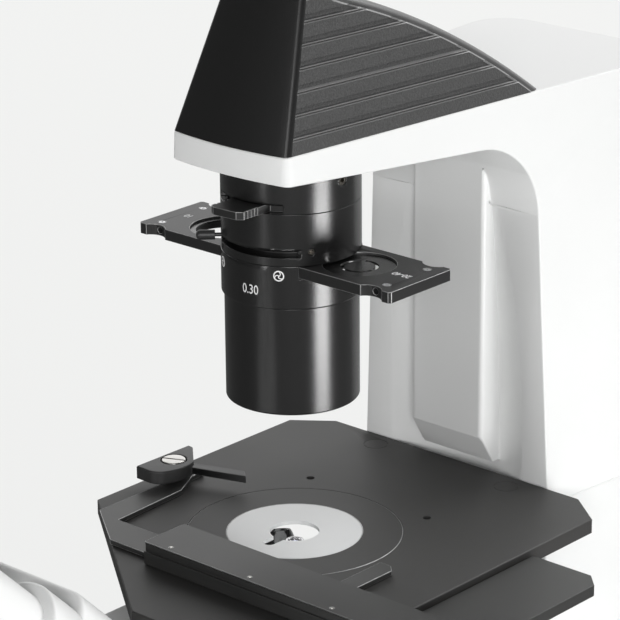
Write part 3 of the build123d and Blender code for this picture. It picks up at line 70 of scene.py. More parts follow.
def place(x, y, z):
    """A point given in millimetres from the stage top on the optical axis, in metres."""
    return STAGE_TOP + Vector((x, y, z)) / 1000


# Sizes and colours that a user may change

def colour(label, text, value):
    return bpy.props.FloatVectorProperty(
        name=label, description=text, subtype="COLOR", size=4, min=0, max=1, default=(*value, 1.0))


def length(label, text, value):
    return bpy.props.FloatProperty(
        name=label, description=text, unit="LENGTH", min=0, default=value)


def power(label, text, value):
    return bpy.props.FloatProperty(
        name=label, description=text, unit="POWER", min=0, default=value)


class FinishColours(bpy.types.PropertyGroup):
    paint: colour("Paint", "White paint of the stand, arm and head", (0.80, 0.805, 0.80))
    plastic: colour("Hood plastic", "Black plastic of the lamp hood", (0.010, 0.010, 0.010))
    grain: colour("Hood grain", "Grained flanks of the lamp hood", (0.050, 0.050, 0.050))
    anodised: colour("Anodised black", "Black parts of the condenser", (0.014, 0.014, 0.014))
    charcoal: colour("Stage coat", "Matte coat of the stage plate", (0.034, 0.033, 0.032))
    rail: colour("Rail grey", "Satin grey of the rails and the holder", (0.042, 0.042, 0.041))
    disc: colour("Insert disc", "Light disc round the specimen hole", (0.90, 0.91, 0.91))
    print_ink: colour("Print", "Ink of the numbers and marks", (0.80, 0.80, 0.80))


class EdgeRounds(bpy.types.PropertyGroup):
    cast: length("Cast edges", "Rounding of the painted castings", 0.0016)
    machined: length("Machined edges", "Rounding of the machined parts", 0.00035)
    moulded: length("Moulded edges", "Rounding of knobs and plastic trim", 0.0006)


class HoodSizes(bpy.types.PropertyGroup):
    first_rib: length("First groove", "Height of the lowest groove above the stage", 0.2218)
    rib_pitch: length("Groove pitch", "Height from one groove to the next", 0.01032)
    rib_height: length("Groove height", "Height of one groove", 0.0042)
    rib_depth: length("Groove depth", "Depth of one groove", 0.0020)
    run_in: length("Groove start", "Start of a groove behind the front corner", 0.0001)
    rib_count: bpy.props.IntProperty(
        name="Grooves", description="Number of grooves", min=1, default=7)


class PrintSizes(bpy.types.PropertyGroup):
    ring_figure: length("Ring figures", "Height of the figures on the condenser ring", 0.0047)
    slider_figure: length("Slider figures", "Height of the figures on the slider", 0.0038)
    mark: length("Iris mark", "Outer diameter of the iris mark", 0.0054)


class StudioLight(bpy.types.PropertyGroup):
    key: power("Key", "Power of the low softbox on the right", 3.0)
    front: power("Front", "Power of the low softbox in front", 4.5)
    back: power("Back", "Power of the large softbox behind", 46.0)
    top: power("Top", "Power of the overhead softbox behind", 30.0)
    fill: power("Fill", "Power of the softbox above the camera", 36.0)
    rim: power("Rim", "Power of the softbox behind on the right", 22.0)
    sky: bpy.props.FloatProperty(
        name="Surround", description="Strength of the white surround", default=0.10)


SETTINGS = {
    "microscope_colours": FinishColours,
    "microscope_edges": EdgeRounds,
    "microscope_hood": HoodSizes,
    "microscope_print": PrintSizes,
    "microscope_light": StudioLight,
}


def settings(name):
    return getattr(bpy.context.scene, "microscope_" + name)


# Node trees written as expressions

class Wire:
    """An output socket that takes part in sums; each operator adds a Math node."""

    def __init__(self, graph, socket):
        self.graph, self.socket = graph, socket

    def math(self, operation, *values):
        inputs = dict(enumerate(values))
        return self.graph.wire("ShaderNodeMath", {"operation": operation}, inputs)

    def __add__(self, other):
        return self.math("ADD", self, other)

    def __sub__(self, other):
        return self.math("SUBTRACT", self, other)

    def __mul__(self, other):
        return self.math("MULTIPLY", self, other)

    def __truediv__(self, other):
        return self.math("DIVIDE", self, other)

    __radd__ = __add__


class Graph:
    """A node tree under construction."""

    def __init__(self, tree):
        self.tree = tree

    def add(self, kind, options=None, inputs=None):
        node = self.tree.nodes.new(kind)
        for key, value in (options or {}).items():
            if key == "stops":
                ramp = node.color_ramp
                for at, _ in value[2:]:
                    ramp.elements.new(at)
                for element, (at, shade) in zip(ramp.elements, sorted(value)):
                    element.position, element.color = at, (shade, shade, shade, 1)
            else:
                setattr(node, key, value)
        for key, value in (inputs or {}).items():
            self.feed(node.inputs[key], value)
        return node

    def feed(self, socket, value):
        if isinstance(value, Wire):
            self.tree.links.new(value.socket, socket)
        else:
            socket.default_value = value

    def wire(self, kind, options=None, inputs=None, output=0):
        return Wire(self, self.add(kind, options, inputs).outputs[output])


class Finish(Graph):
    """One material. Patterns are measured in metres on the object's own coordinates."""

    def __init__(self, name, **shader):
        self.material = bpy.data.materials.new(name)
        self.material.use_nodes = True
        super().__init__(self.material.node_tree)
        self.shader = self.tree.nodes["Principled BSDF"]
        self.where = self.wire("ShaderNodeTexCoord", output="Object")
        for label, value in shader.items():
            self.set(label.replace("_", " "), value)

    def set(self, label, value):
        self.feed(self.shader.inputs[label], value)

    def noise(self, scale, detail=2.0, rough=0.5, stretch=(1, 1, 1)):
        where = self.wire("ShaderNodeMapping", None, {"Vector": self.where, "Scale": stretch})
        return self.wire("ShaderNodeTexNoise", None, {
            "Vector": where, "Scale": scale, "Detail": detail, "Roughness": rough})

    def tint(self, base, other, mask):
        """Colour that goes from one to another by a mask."""
        mixed = self.wire("ShaderNodeMix", {"data_type": "RGBA"}, {
            "Factor": mask, 6: tuple(base), 7: tuple(other)}, output=2)
        self.set("Base Color", mixed)

    def bump(self, height, strength, distance):
        self.set("Normal", self.wire("ShaderNodeBump", None, {
            "Height": height, "Strength": strength, "Distance": distance}))


def scaled(rgba, factor):
    return (rgba[0] * factor, rgba[1] * factor, rgba[2] * factor, 1.0)


def plain(name, base, noise, shades, rough, relief=None, **shader):
    """Finish whose colour, roughness and relief follow one noise.

    Shades are the darkest and lightest share of the base colour, rough is the least
    roughness and its spread, and relief is the strength and depth of the bump.
    """
    made = Finish(name, **shader)
    mask = made.noise(*noise)
    made.tint(scaled(base, shades[0]), scaled(base, shades[1]), mask)
    made.set("Roughness", rough[0] + mask * rough[1])
    if relief:
        made.bump(mask, *relief)
    return made


def white_paint():
    base = settings("colours").paint
    made = plain("white_satin_paint", base, (14, 3), (0.97, 1.02), (0.36, 0.12), Coat_Weight=0.12)
    made.bump(made.noise(1100, 2), 0.07, 0.0002)
    return made


def hood_plastic(name, base, scale, rough, relief):
    return plain(name, base, (scale, 2, 0.6), (0.45, 1.6), (rough, 0.16), relief)


def turned_black():
    """Anodised metal with the fine rings that a lathe leaves."""
    base = settings("colours").anodised
    made = Finish("turned_black", Metallic=0.2, Specular_IOR_Level=1.0)
    rings = made.noise(1.0, 3, 0.6, stretch=(12, 12, 2600))
    grain = made.noise(1900, 2, 0.6)
    made.tint(scaled(base, 0.7), scaled(base, 1.3), grain)
    made.set("Roughness", 0.2 + grain * 0.08)
    made.bump(grain * 0.75 + rings * 0.25, 0.16, 0.0002)
    return made


def satin_black():
    base = settings("colours").anodised
    return plain("satin_black_metal", base, (2200, 3, 0.6), (1.0, 1.8), (0.36, 0.14),
                 (0.1, 0.0002), Metallic=0.15)


def stage_coat():
    base = settings("colours").charcoal
    made = Finish("stage_coat")
    grain = made.noise(1900, 3, 0.65)
    cloud = made.noise(16, 3)
    made.tint(scaled(base, 0.8), scaled(base, 1.25), grain * 0.7 + cloud * 0.3)
    made.set("Roughness", 0.5 + cloud * 0.1)
    made.bump(grain, 0.14, 0.0002)
    return made


def rail_coat():
    """Satin grey with faint brushing along the rail."""
    base = settings("colours").rail
    return plain("rail_coat", base, (1.0, 3, 0.6, (60, 1800, 1800)), (0.8, 1.35), (0.36, 0.14),
                 (0.06, 0.0002), Metallic=0.35)


def gloss_disc():
    return plain("gloss_disc", settings("colours").disc, (40, 3), (0.97, 1.03), (0.2, 0.08))


def moulded(name, shade, rough, scale):
    return plain(name, (shade,) * 3, (scale, 3, 0.6), (0.75, 1.4), (rough, 0.14), (0.15, 0.0002))


def metal(name, rgb, rough, stretch):
    """Bare metal with brushing along the axis that isn't stretched."""
    return plain(name, rgb, (1.0, 3, 0.6, stretch), (0.86, 1.05), (rough, 0.12),
                 (0.05, 0.0001), Metallic=1.0)


def coated_glass():
    made = Finish("coated_glass", Transmission_Weight=1.0, IOR=1.5)
    cloud = made.noise(30, 2)
    made.tint((0.80, 0.86, 0.92, 1), (0.90, 0.86, 0.95, 1), cloud)
    made.set("Roughness", 0.015 + cloud * 0.02)
    return made


def band(name, rgb):
    return plain(name, rgb, (300, 2), (0.9, 1.05), (0.32, 0.1))


def rubbed_edge_with_highlight(name, shade):
    """Edge where the black has rubbed thin and the bare metal shows in places, and made lighter as
    a painted highlight along the edge.
    """
    return plain(name, (shade,) * 3, (260, 3, 0.6), (0.45, 1.5), (0.26, 0.14), Metallic=0.5)


def ink():
    base = settings("colours").print_ink
    return plain("white_print", base, (3000, 2), (0.86, 1.05), (0.45, 0.15))


FINISH_MAKERS = {
    "paint": white_paint,
    "hood_grain": lambda: hood_plastic(
        "hood_grain", settings("colours").grain, 950, 0.34, (0.8, 0.0004)),
    # Satin of the hood's front, also laid in the grooves as painted shade.
    "hood_satin": lambda: hood_plastic(
        "hood_satin", settings("colours").plastic, 2600, 0.26, (0.1, 0.0003)),
    # Lighter grey laid on the groove ledges and the lip as a painted highlight.
    "hood_edge": lambda: moulded("hood_edge", 0.20, 0.24, 1500),
    "turned": turned_black,
    "black": satin_black,
    "coat": stage_coat,
    "rail": rail_coat,
    "disc": gloss_disc,
    "knob": lambda: moulded("moulded_black", 0.022, 0.38, 1800),
    "rubber": lambda: moulded("matte_rubber", 0.018, 0.66, 1300),
    "steel": lambda: metal("brushed_steel", (0.56, 0.55, 0.53), 0.24, (900, 90, 900)),
    "chrome": lambda: metal("satin_chrome", (0.72, 0.72, 0.73), 0.12, (30, 30, 1800)),
    "aluminium": lambda: metal("plain_aluminium", (0.68, 0.68, 0.69), 0.3, (600, 80, 600)),
    "mirror": lambda: metal("front_mirror", (0.86, 0.87, 0.89), 0.02, (20, 20, 20)),
    "glass": coated_glass,
    "red": lambda: band("red_band", (0.55, 0.03, 0.03)),
    "yellow": lambda: band("yellow_band", (0.72, 0.50, 0.03)),
    "green": lambda: band("green_band", (0.03, 0.33, 0.10)),
    "blue": lambda: band("blue_band", (0.05, 0.22, 0.55)),
    "gunmetal": lambda: metal("dark_steel", (0.30, 0.28, 0.25), 0.22, (900, 90, 900)),
    # Rounded edges lighter than their parts: wear, and a painted highlight along the edge.
    "black_rub_and_highlight": lambda: rubbed_edge_with_highlight("worn_black_edge", 0.30),
    "coat_rub_and_highlight": lambda: rubbed_edge_with_highlight("worn_coat_edge", 0.50),
    "ink": ink,
}


FINISHES = {}


def finish(name):
    if name not in FINISHES:
        FINISHES[name] = FINISH_MAKERS[name]().material
    return FINISHES[name]


# Pieces

# Facets that meet at more than these angles keep a sharp edge.
PART_CREASE = math.radians(32.0)
MADE_CREASE = math.radians(35.0)
HOOD_CREASE = math.radians(24)

# Points closer than these are joined, and faces flatter than this are merged.
PART_JOIN, MADE_JOIN, PRINT_JOIN = 2e-6, 1e-7, 1e-5
PART_FLAT = math.radians(0.4)

# Rounding of screws, ring stops and chromed parts, in metres.
SCREW_EDGE, STOP_EDGE, CHROME_EDGE = 0.0001, 0.00012, 0.0002


def new_piece(mesh, name, finish_names, body, replaces=()):
    """Puts a finished mesh in the scene, on its body, with its finishes."""
    piece = holder_of(mesh, name)
    mesh.materials.clear()
    for each in finish_names:
        mesh.materials.append(finish(each))
    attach(piece, body)
    if replaces:
        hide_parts(*replaces)
    return piece


@contextlib.contextmanager
def edited(mesh):
    """Opens a mesh for bmesh operators and writes it back."""
    shape = bmesh.new()
    shape.from_mesh(mesh)
    yield shape
    shape.to_mesh(mesh)
    shape.free()


def round_edges(piece, width, segments, bevel_rub_and_highlight):
    bevel = piece.modifiers.new("edges", "BEVEL")
    bevel.width, bevel.segments = width, segments
    bevel.limit_method, bevel.angle_limit = "ANGLE", PART_CREASE
    # Rounded edges take the second finish when one is given: wear and a painted highlight.
    bevel.material = 1 if bevel_rub_and_highlight else -1
    bevel.use_clamp_overlap = False
    bevel.harden_normals = True
    bevel.miter_outer = "MITER_ARC"


def cut_rows(shape, low, high, pitch):
    """Cuts a mesh at level planes, so that shading stays even round small holes."""
    for k in range(1, int((high - low) / pitch)):
        every = shape.verts[:] + shape.edges[:] + shape.faces[:]
        level = (0, 0, low + k * pitch)
        bmesh.ops.bisect_plane(shape, geom=every, plane_co=level, plane_no=(0, 0, 1))


def dressed(node, finish_name, width=None, segments=3, bevel_rub_and_highlight="", rows=0.0):
    """Copy of a solid part with joined faces, rounded edges and its finish.

    The argument after segments names the finish of the rounded edges, where it differs, a lighter
    one that shows wear and a painted highlight, and rows is the height, in metres, of the rows that
    long facets are cut into.
    """
    mesh = FRAME["nodes"][node].data.copy()
    mesh.name = node + "_dressed"
    with edited(mesh) as shape:
        bmesh.ops.remove_doubles(shape, verts=shape.verts, dist=PART_JOIN)
        bmesh.ops.dissolve_limit(
            shape, angle_limit=PART_FLAT, verts=shape.verts, edges=shape.edges)
        if rows:
            low, high = (corner[2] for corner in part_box(node))
            cut_rows(shape, low, high, rows)
    smooth(mesh, PART_CREASE)
    names = [finish_name, bevel_rub_and_highlight] if bevel_rub_and_highlight else [finish_name]
    piece = new_piece(mesh, node + "_dressed", names, BODY_OF[node], [node])
    if width:
        round_edges(piece, width, segments, bool(bevel_rub_and_highlight))


def dress_all(nodes, finish_name, width):
    for node in nodes:
        dressed(node, finish_name, width)


def coat(node, finish_name):
    """Gives a solid part that is shown as it is its finish."""
    mesh = FRAME["nodes"][node].data
    mesh.materials.clear()
    mesh.materials.append(finish(finish_name))
    smooth(mesh, PART_CREASE)


def smooth(mesh, crease):
    mesh.shade_smooth()
    mesh.set_sharp_from_angle(angle=crease)


def mesh_of(name, points, faces, flat=False):
    mesh = bpy.data.meshes.new(name)
    mesh.from_pydata(points, [], faces)
    with edited(mesh) as shape:
        bmesh.ops.remove_doubles(shape, verts=shape.verts, dist=MADE_JOIN)
        bmesh.ops.recalc_face_normals(shape, faces=shape.faces)
    if not flat:
        smooth(mesh, MADE_CREASE)
    return mesh


def lathe(name, profile, steps, frame):
    """Mesh turned about Z from a closed (radius, height) outline in millimetres, in a frame."""
    points, faces, count = [], [], len(profile)
    for step in range(steps):
        turn = 2 * math.pi * step / steps
        for r, z in profile:
            local = Vector((r * math.cos(turn), r * math.sin(turn), z))
            points.append(place(*(frame @ local)))
        here, there = step * count, (step + 1) % steps * count
        for k in range(count):
            after = (k + 1) % count
            faces.append((here + k, here + after, there + after, there + k))
    return mesh_of(name, points, faces)


def evaluated(holder, name):
    """Plain mesh of what an object's modifiers make."""
    graph = bpy.context.evaluated_depsgraph_get()
    mesh = bpy.data.meshes.new_from_object(holder.evaluated_get(graph), depsgraph=graph)
    mesh.name = name
    return mesh


class Pattern(Graph):
    """Geometry Nodes tree with named inputs, given as label and socket kind."""

    def __init__(self, name, inputs):
        self.group = bpy.data.node_groups.new(name, "GeometryNodeTree")
        super().__init__(self.group)
        face = self.group.interface
        face.new_socket("Geometry", in_out="INPUT", socket_type="NodeSocketGeometry")
        face.new_socket("Geometry", in_out="OUTPUT", socket_type="NodeSocketGeometry")
        self.keys = {}
        for label, kind in inputs.items():
            socket = face.new_socket(label, in_out="INPUT", socket_type="NodeSocket" + kind)
            self.keys[label] = socket.identifier
        self.source = self.add("NodeGroupInput")
        self.sink = self.add("NodeGroupOutput")

    def given(self, label):
        return Wire(self, self.source.outputs[label])

    def named(self, attribute):
        return self.wire(
            "GeometryNodeInputNamedAttribute", {"data_type": "FLOAT"}, {"Name": attribute})

    def close(self, geometry, material):
        """Ends the tree in Realize Instances and Set Material."""
        real = self.wire("GeometryNodeRealizeInstances", None, {"Geometry": geometry})
        shown = self.wire("GeometryNodeSetMaterial", None, {"Geometry": real, "Material": material})
        self.feed(self.sink.inputs[0], shown)

    def run(self, holder, values, name):
        """Plain mesh that the tree makes from a holder object."""
        modifier = holder.modifiers.new("pattern", "NODES")
        modifier.node_group = self.group
        for label, value in values.items():
            modifier[self.keys[label]] = value
        bpy.context.view_layer.update()
        mesh = evaluated(holder, name)
        holder.modifiers.remove(modifier)
        return mesh


def holder_of(data, name="holder"):
    holder = bpy.data.objects.new(name, data)
    bpy.context.scene.collection.objects.link(holder)
    return holder


def discard(*objects):
    for each in objects:
        bpy.data.objects.remove(each)


def repeat_at(name, unit, spots, finish_name):
    """Copies of a small unit mesh at points, each turned by its own angle about Z."""
    seeds = bpy.data.meshes.new(name + "_spots")
    seeds.from_pydata([spot for spot, _ in spots], [], [])
    turns = seeds.attributes.new("turn", "FLOAT", "POINT")
    turns.data.foreach_set("value", [turn for _, turn in spots])
    holder, part = holder_of(seeds), holder_of(unit)
    pattern = Pattern(name, {"Unit": "Object"})
    info = pattern.add("GeometryNodeObjectInfo", None, {"Object": pattern.given("Unit")})
    spin = pattern.wire("ShaderNodeCombineXYZ", None, {"Z": pattern.named("turn")})
    copies = pattern.wire("GeometryNodeInstanceOnPoints", None, {
        "Points": pattern.given("Geometry"), "Instance": Wire(pattern, info.outputs["Geometry"]),
        "Rotation": spin})
    pattern.close(copies, finish(finish_name))
    mesh = pattern.run(holder, {"Unit": part}, name)
    discard(holder, part)
    return mesh


class Builder:
    """Base of the operators: each builds some of the pieces."""

    def execute(self, context):
        self.build(settings("edges"))
        return {"FINISHED"}


# Hood

# Levels, and the front edge at the seam with the arm.
SEAM_Z, HOOD_TOP, FOOT_GAP = 213.4, 287.0, 0.05
NOSE_Y, NOSE_HALF, REVEAL = -43.0, 37.3, 0.4

# Plan taper to the back, and how the sides and the front lean with height.
SPREAD, SIDE_LEAN, FRONT_LEAN = 0.093, 0.206, 0.352

# The front is bowed, a little less with each step up. The corners take a share of the bow.
NOSE_BOW, BOW_FADE, CORNER_BOW, CORNER_TURN = 3.9, 80, 0.19, 0.12
NOSE_CORNER, CORNER_WIDTH = 3.2, 0.85

# The crown is an arc, with a rounded band at its sides that ends in a lip.
CROWN_POINTS = ((-45.0, 295.0), (52.0, 263.0), (132.0, 211.4))
CROWN_ROUND, LIP_STEP, LIP_WIDTH, ROOF_BOW = 5.2, 0.5, 0.8, 1.2
LEAST_STEEP, LEAST_DEPTH = 0.18, 2.5
WALL, ROOF = 3.2, 4.0

# Mesh columns close behind the front corner, and the number of steps on each run.
NEAR_CREASE = (0.0, 0.15, 0.4, 0.7, 1.2, 2.4)
ROUND_STEPS, FLANK_STEPS, FACE_STEPS, ROOF_STEPS, INNER_ROWS = 6, 8, 20, 16, 6

# Groove section: height from the middle in half heights, and share of the full depth.
GROOVE_STOPS = ((-1.05, 0.0), (-0.85, 0.5), (-0.6, 0.2), (-0.2, 0.85), (0.88, 1.0), (1.05, 0.0))
GROOVE_ROWS = (
    -1.35, -1.05, -0.95, -0.85, -0.72, -0.6, -0.4, -0.2, 0.3, 0.88, 0.96, 1.05, 1.35)
GROOVE_REACH, GROOVE_FADE = 1.2, 0.0005

# Finishes of the hood, and the groove heights where a face isn't grained: painted highlights on the
# step and the lower lip of a groove, painted shade under its overhang and in the line between step
# and lip.
# The satin finish is the hood's own plastic and also paints shade; the third finish paints
# highlights.
GRAINED, SATIN_AND_PAINTED_SHADE, PAINTED_HIGHLIGHT = range(3)
GROOVE_LIGHT_AND_SHADE_BANDS = (
    (-1.06, -0.84, PAINTED_HIGHLIGHT), (-0.84, -0.61, SATIN_AND_PAINTED_SHADE), (-0.61, -0.3, PAINTED_HIGHLIGHT), (0.62, 1.06, SATIN_AND_PAINTED_SHADE))


def circle_through(a, b, c):
    """Centre and radius of the circle through three (y, z) points."""
    (ax, ay), (bx, by), (cx, cy) = a, b, c
    d = 2 * (ax * (by - cy) + bx * (cy - ay) + cx * (ay - by))
    sa, sb, sc = ax * ax + ay * ay, bx * bx + by * by, cx * cx + cy * cy
    x = (sa * (by - cy) + sb * (cy - ay) + sc * (ay - by)) / d
    y = (sa * (cx - bx) + sb * (ax - cx) + sc * (bx - ax)) / d
    return x, y, math.hypot(ax - x, ay - y)


def quarter(first=0):
    """Angles of a quarter turn in even steps."""
    return [math.pi / 2 * k / ROUND_STEPS for k in range(first, ROUND_STEPS + 1)]


def hood_outline(z, crown, inset=0.0):
    """Plan points of the hood at one level.

    Each carries 1 on a flank, -1 on the front corners and 0 elsewhere.
    """
    cy, cz, r = crown
    rise = z - SEAM_Z
    front = NOSE_Y + FRONT_LEAN * rise + inset
    back = cy + math.sqrt(max(r * r - (z - cz) ** 2, 0.0))
    steep = max((back - cy) / r, LEAST_STEEP)
    back = max(back - inset / steep, front + LEAST_DEPTH)
    bow = NOSE_BOW - rise / BOW_FADE
    depth = back - front
    margin = min(CROWN_ROUND / steep, 0.4 * depth)
    lip = min(LIP_WIDTH / steep, 0.25 * margin)
    corner = min(NOSE_CORNER, 0.3 * depth)
    crease, rear = front + corner, back - margin

    def half(y):
        return NOSE_HALF - REVEAL - inset + SPREAD * (y - NOSE_Y) - SIDE_LEAN * rise

    right = []
    for t in quarter():
        y = back - (margin - lip) * (1 - math.cos(t))
        right.append((half(y) - LIP_STEP - CROWN_ROUND * (1 - math.sin(t)), y, 0.0))
    shrink = min(1.0, 0.5 * (rear - crease) / NEAR_CREASE[-1])
    columns = [crease + k * shrink for k in NEAR_CREASE]
    last = columns[-1]
    columns += [last + (rear - last) * k / FLANK_STEPS for k in range(1, FLANK_STEPS + 1)]
    right += [(half(y), y, 1.0) for y in reversed(columns)]
    for t in quarter(1):
        x = half(crease) - corner * CORNER_WIDTH * (1 - math.cos(t))
        right.append((x, crease - corner * math.sin(t) - bow * CORNER_TURN * t, -1.0))

    inner, face = right[-1][0], []
    for k in range(1, FACE_STEPS):
        x = inner * (1 - 2 * k / FACE_STEPS)
        bulge = bow * (1 - CORNER_BOW) * (1 - (x / inner) ** 2)
        face.append((x, front - bow * CORNER_BOW - bulge, 0.0))
    left = [(-x, y, flag) for x, y, flag in reversed(right)]
    edge, roof = right[0][0], []
    for k in range(1, ROOF_STEPS):
        x = edge * (2 * k / ROOF_STEPS - 1)
        roof.append((x, back + ROOF_BOW * (1 - (x / edge) ** 2), 0.0))
    return right + face + left + roof


def hood_levels(hood):
    """Heights of the mesh rows, close together at the groove edges."""
    first, pitch, half = hood.first_rib * 1000, hood.rib_pitch * 1000, hood.rib_height * 500
    levels = [SEAM_Z + FOOT_GAP, SEAM_Z + 0.6, SEAM_Z + 3.0, HOOD_TOP - 0.6, HOOD_TOP]
    for k in range(hood.rib_count):
        middle = first + pitch * k
        levels += [middle + part * half for part in GROOVE_ROWS] + [middle + pitch / 2]
    return sorted(z for z in levels if z <= HOOD_TOP)


def groove_relief():
    """Presses level grooves with a stepped section into the flanks, behind the front edge."""
    names = ("First", "Pitch", "Half height", "Depth", "Front", "Last")
    inputs = dict.fromkeys(names, "Float") | {"Material": "Material"}
    pattern = Pattern("groove_relief", inputs)
    first, pitch, half, deep, front, last = (pattern.given(name) for name in names)
    position = pattern.wire("GeometryNodeInputPosition")
    split = pattern.add("ShaderNodeSeparateXYZ", None, {"Vector": position})
    x, y, z = (Wire(pattern, split.outputs[k]) for k in range(3))

    step = (z - first) / pitch
    step = step.math("ROUND", step)
    step = step.math("MAXIMUM", step.math("MINIMUM", step, last), 0.0)
    away = (z - first - step * pitch) / half
    stops = [((at + GROOVE_REACH) / 2 / GROOVE_REACH, share) for at, share in GROOVE_STOPS]
    section = pattern.wire("ShaderNodeValToRGB", {"stops": stops}, {
        "Fac": (away + GROOVE_REACH) / 2 / GROOVE_REACH})
    start = (y - front - (z - first) * FRONT_LEAN) / GROOVE_FADE
    start = start.math("MAXIMUM", start.math("MINIMUM", start, 1.0), 0.0)
    flank = pattern.named("flank")
    flank = flank.math("MAXIMUM", flank, 0.0)

    push = x.math("SIGN", x) * section * start * flank * deep * -1.0
    moved = pattern.wire("GeometryNodeSetPosition", None, {
        "Geometry": pattern.given("Geometry"),
        "Offset": pattern.wire("ShaderNodeCombineXYZ", None, {"X": push})})
    pattern.close(moved, pattern.given("Material"))
    return pattern


def hood_blank(hood):
    """Hollow hood without its grooves, with the flank value on each point."""
    crown = circle_through(*CROWN_POINTS)
    levels = hood_levels(hood)
    hollow = HOOD_TOP - ROOF - SEAM_Z
    inner_levels = [SEAM_Z + FOOT_GAP + hollow * k / INNER_ROWS for k in range(INNER_ROWS + 1)]
    rows = [(z, 0.0) for z in reversed(levels)] + [(z, WALL) for z in inner_levels]
    points, flags, faces = [], [], []
    for z, inset in rows:
        for x, y, flag in hood_outline(z, crown, inset):
            points.append(place(x, y, z))
            flags.append(0.0 if inset else flag)
    count = len(points) // len(rows)
    for row in range(len(rows) - 1):
        for k in range(count):
            a, b = row * count + k, row * count + (k + 1) % count
            faces.append((a, b, b + count, a + count))
    faces.append(tuple(range(count)))
    faces.append(tuple(range(len(points) - count, len(points))))
    mesh = bpy.data.meshes.new("hood_blank")
    mesh.from_pydata(points, [], faces)
    flank = mesh.attributes.new("flank", "FLOAT", "POINT")
    flank.data.foreach_set("value", flags)
    return mesh


def hood_finishes(shell, hood):
    """Finish of each face: grained flanks, satin front, painted shade in the undercuts, and painted
    highlights on the ridges and lip.
    """
    flags = [round(value.value) for value in shell.attributes["flank"].data]
    base, finishes = STAGE_TOP.z + hood.first_rib, []
    for face in shell.polygons:
        around = {flags[k] for k in face.vertices}
        away = face.center.z - base
        away = (away - round(away / hood.rib_pitch) * hood.rib_pitch) * 2 / hood.rib_height
        if around == {1}:
            inside = (index for low, high, index in GROOVE_LIGHT_AND_SHADE_BANDS if low < away < high)
            finishes.append(next(inside, GRAINED))
        else:
            # Faces where a flank meets the rest, along the lip, take the painted highlight.
            finishes.append(PAINTED_HIGHLIGHT if {0, 1} <= around else SATIN_AND_PAINTED_SHADE)
    return finishes


class MICROSCOPE_OT_hood(Builder, bpy.types.Operator):
    """Ribbed black lamp hood on the arm"""

    bl_idname = "microscope.hood"
    bl_label = "Lamp hood"

    def build(self, edges):
        hood = settings("hood")
        holder = holder_of(hood_blank(hood))
        rise = hood.first_rib * 1000 - SEAM_Z
        start = place(0, NOSE_Y + FRONT_LEAN * rise + NOSE_CORNER, 0).y + hood.run_in
        shell = groove_relief().run(holder, {
            "First": STAGE_TOP.z + hood.first_rib, "Pitch": hood.rib_pitch,
            "Half height": hood.rib_height / 2, "Depth": hood.rib_depth, "Front": start,
            "Last": hood.rib_count - 1.0, "Material": finish("hood_grain")}, "hood_shell")
        discard(holder)
        finishes = hood_finishes(shell, hood)
        with edited(shell) as shape:
            bmesh.ops.recalc_face_normals(shape, faces=shape.faces)
        smooth(shell, HOOD_CREASE)
        # Grained flanks, satin that also paints shade, and a painted highlight.
        names = ["hood_grain", "hood_satin", "hood_edge"]
        new_piece(shell, "lamp_hood", names, "body", ["arm_hood"])
        shell.polygons.foreach_set("material_index", finishes)


# Stand

class MICROSCOPE_OT_stand(Builder, bpy.types.Operator):
    """White castings of the stand, and the plate and feet under them"""

    bl_idname = "microscope.stand"
    bl_label = "Stand"

    def build(self, edges):
        dressed("arm_column", "paint", edges.cast * 0.55, segments=4)
        dressed("base_shell", "paint", edges.cast * 0.8)
        dressed("bottom_plate", "black", edges.machined)
        dressed("rubber_feet", "rubber", edges.moulded)


class MICROSCOPE_OT_lamp(Builder, bpy.types.Operator):
    """Lamp bracket, bulb and collector lens under the hood"""

    bl_idname = "microscope.lamp"
    bl_label = "Lamp"

    def build(self, edges):
        dressed("lamp_socket", "aluminium", edges.machined)
        coat("lamp_bulb", "glass")
        coat("collector_lens", "glass")


# Condenser

# Height of the rows that long turned facets are cut into, in metres.
ROW = 0.0015

# Millimetres: thickness of the print, its lift off the surface and its longest edge.
PRINT_THICK, PRINT_LIFT, PRINT_EDGE = 0.05, 0.02, 0.8

# Share of the font size that a figure is high.
FIGURE_SHARE = 0.7

# Iris mark: line of the ring, a blade's half width, its overlap and the turn along it.
MARK_LINE, BLADE_HALF, BLADE_OVERLAP, BLADE_TURN = 0.62, 0.22, 0.1, 1.5
MARK_STEPS, BLADE_STEPS = 48, 9

# Radius of the marked ring, then the width, angle and level of its print.
MARKED_R = 34.7
RING_FIGURES = ("0.30", 0.82, 277.0, 139.4)
IRIS_MARKS = ((302.0, 148.0), (238.5, 147.5))

# Top of the slider, then the text and place of its print.
SLIDER_TOP, SLIDER_NARROW, SLIDER_BOLD = 152.4, 0.85, 0.03
SLIDER_FIGURES = (("right", "20-40", 70.4, 0.5), ("left", "10", -70.4, 0.5))


def wrapped(mesh, radius, angle, z):
    """Bends a flat text mesh, in millimetres about its origin, round the condenser."""
    for vertex in mesh.vertices:
        turn = math.radians(angle) + vertex.co.x / radius
        r = radius + vertex.co.z
        vertex.co = place(r * math.cos(turn), r * math.sin(turn), z + vertex.co.y)


def figures(text, height, narrow, bold=0.008):
    """Flat mesh of plain figures, in millimetres, centred on the origin."""
    curve = bpy.data.curves.new("figures", "FONT")
    curve.body, curve.size, curve.extrude = text, height / FIGURE_SHARE, PRINT_THICK / 2
    curve.align_x, curve.align_y = "CENTER", "CENTER"
    curve.resolution_u = 4
    curve.offset = height * bold
    holder = holder_of(curve)
    bpy.context.view_layer.update()
    mesh = evaluated(holder, "figures")
    discard(holder)
    mesh.transform(Matrix.Diagonal((narrow, 1, 1, 1)))
    with edited(mesh) as shape:
        bmesh.ops.remove_doubles(shape, verts=shape.verts, dist=PRINT_JOIN)
        bmesh.ops.triangulate(shape, faces=shape.faces)
        longest = [edge for edge in shape.edges if edge.calc_length() > PRINT_EDGE]
        bmesh.ops.subdivide_edges(shape, edges=longest, cuts=2)
    return mesh


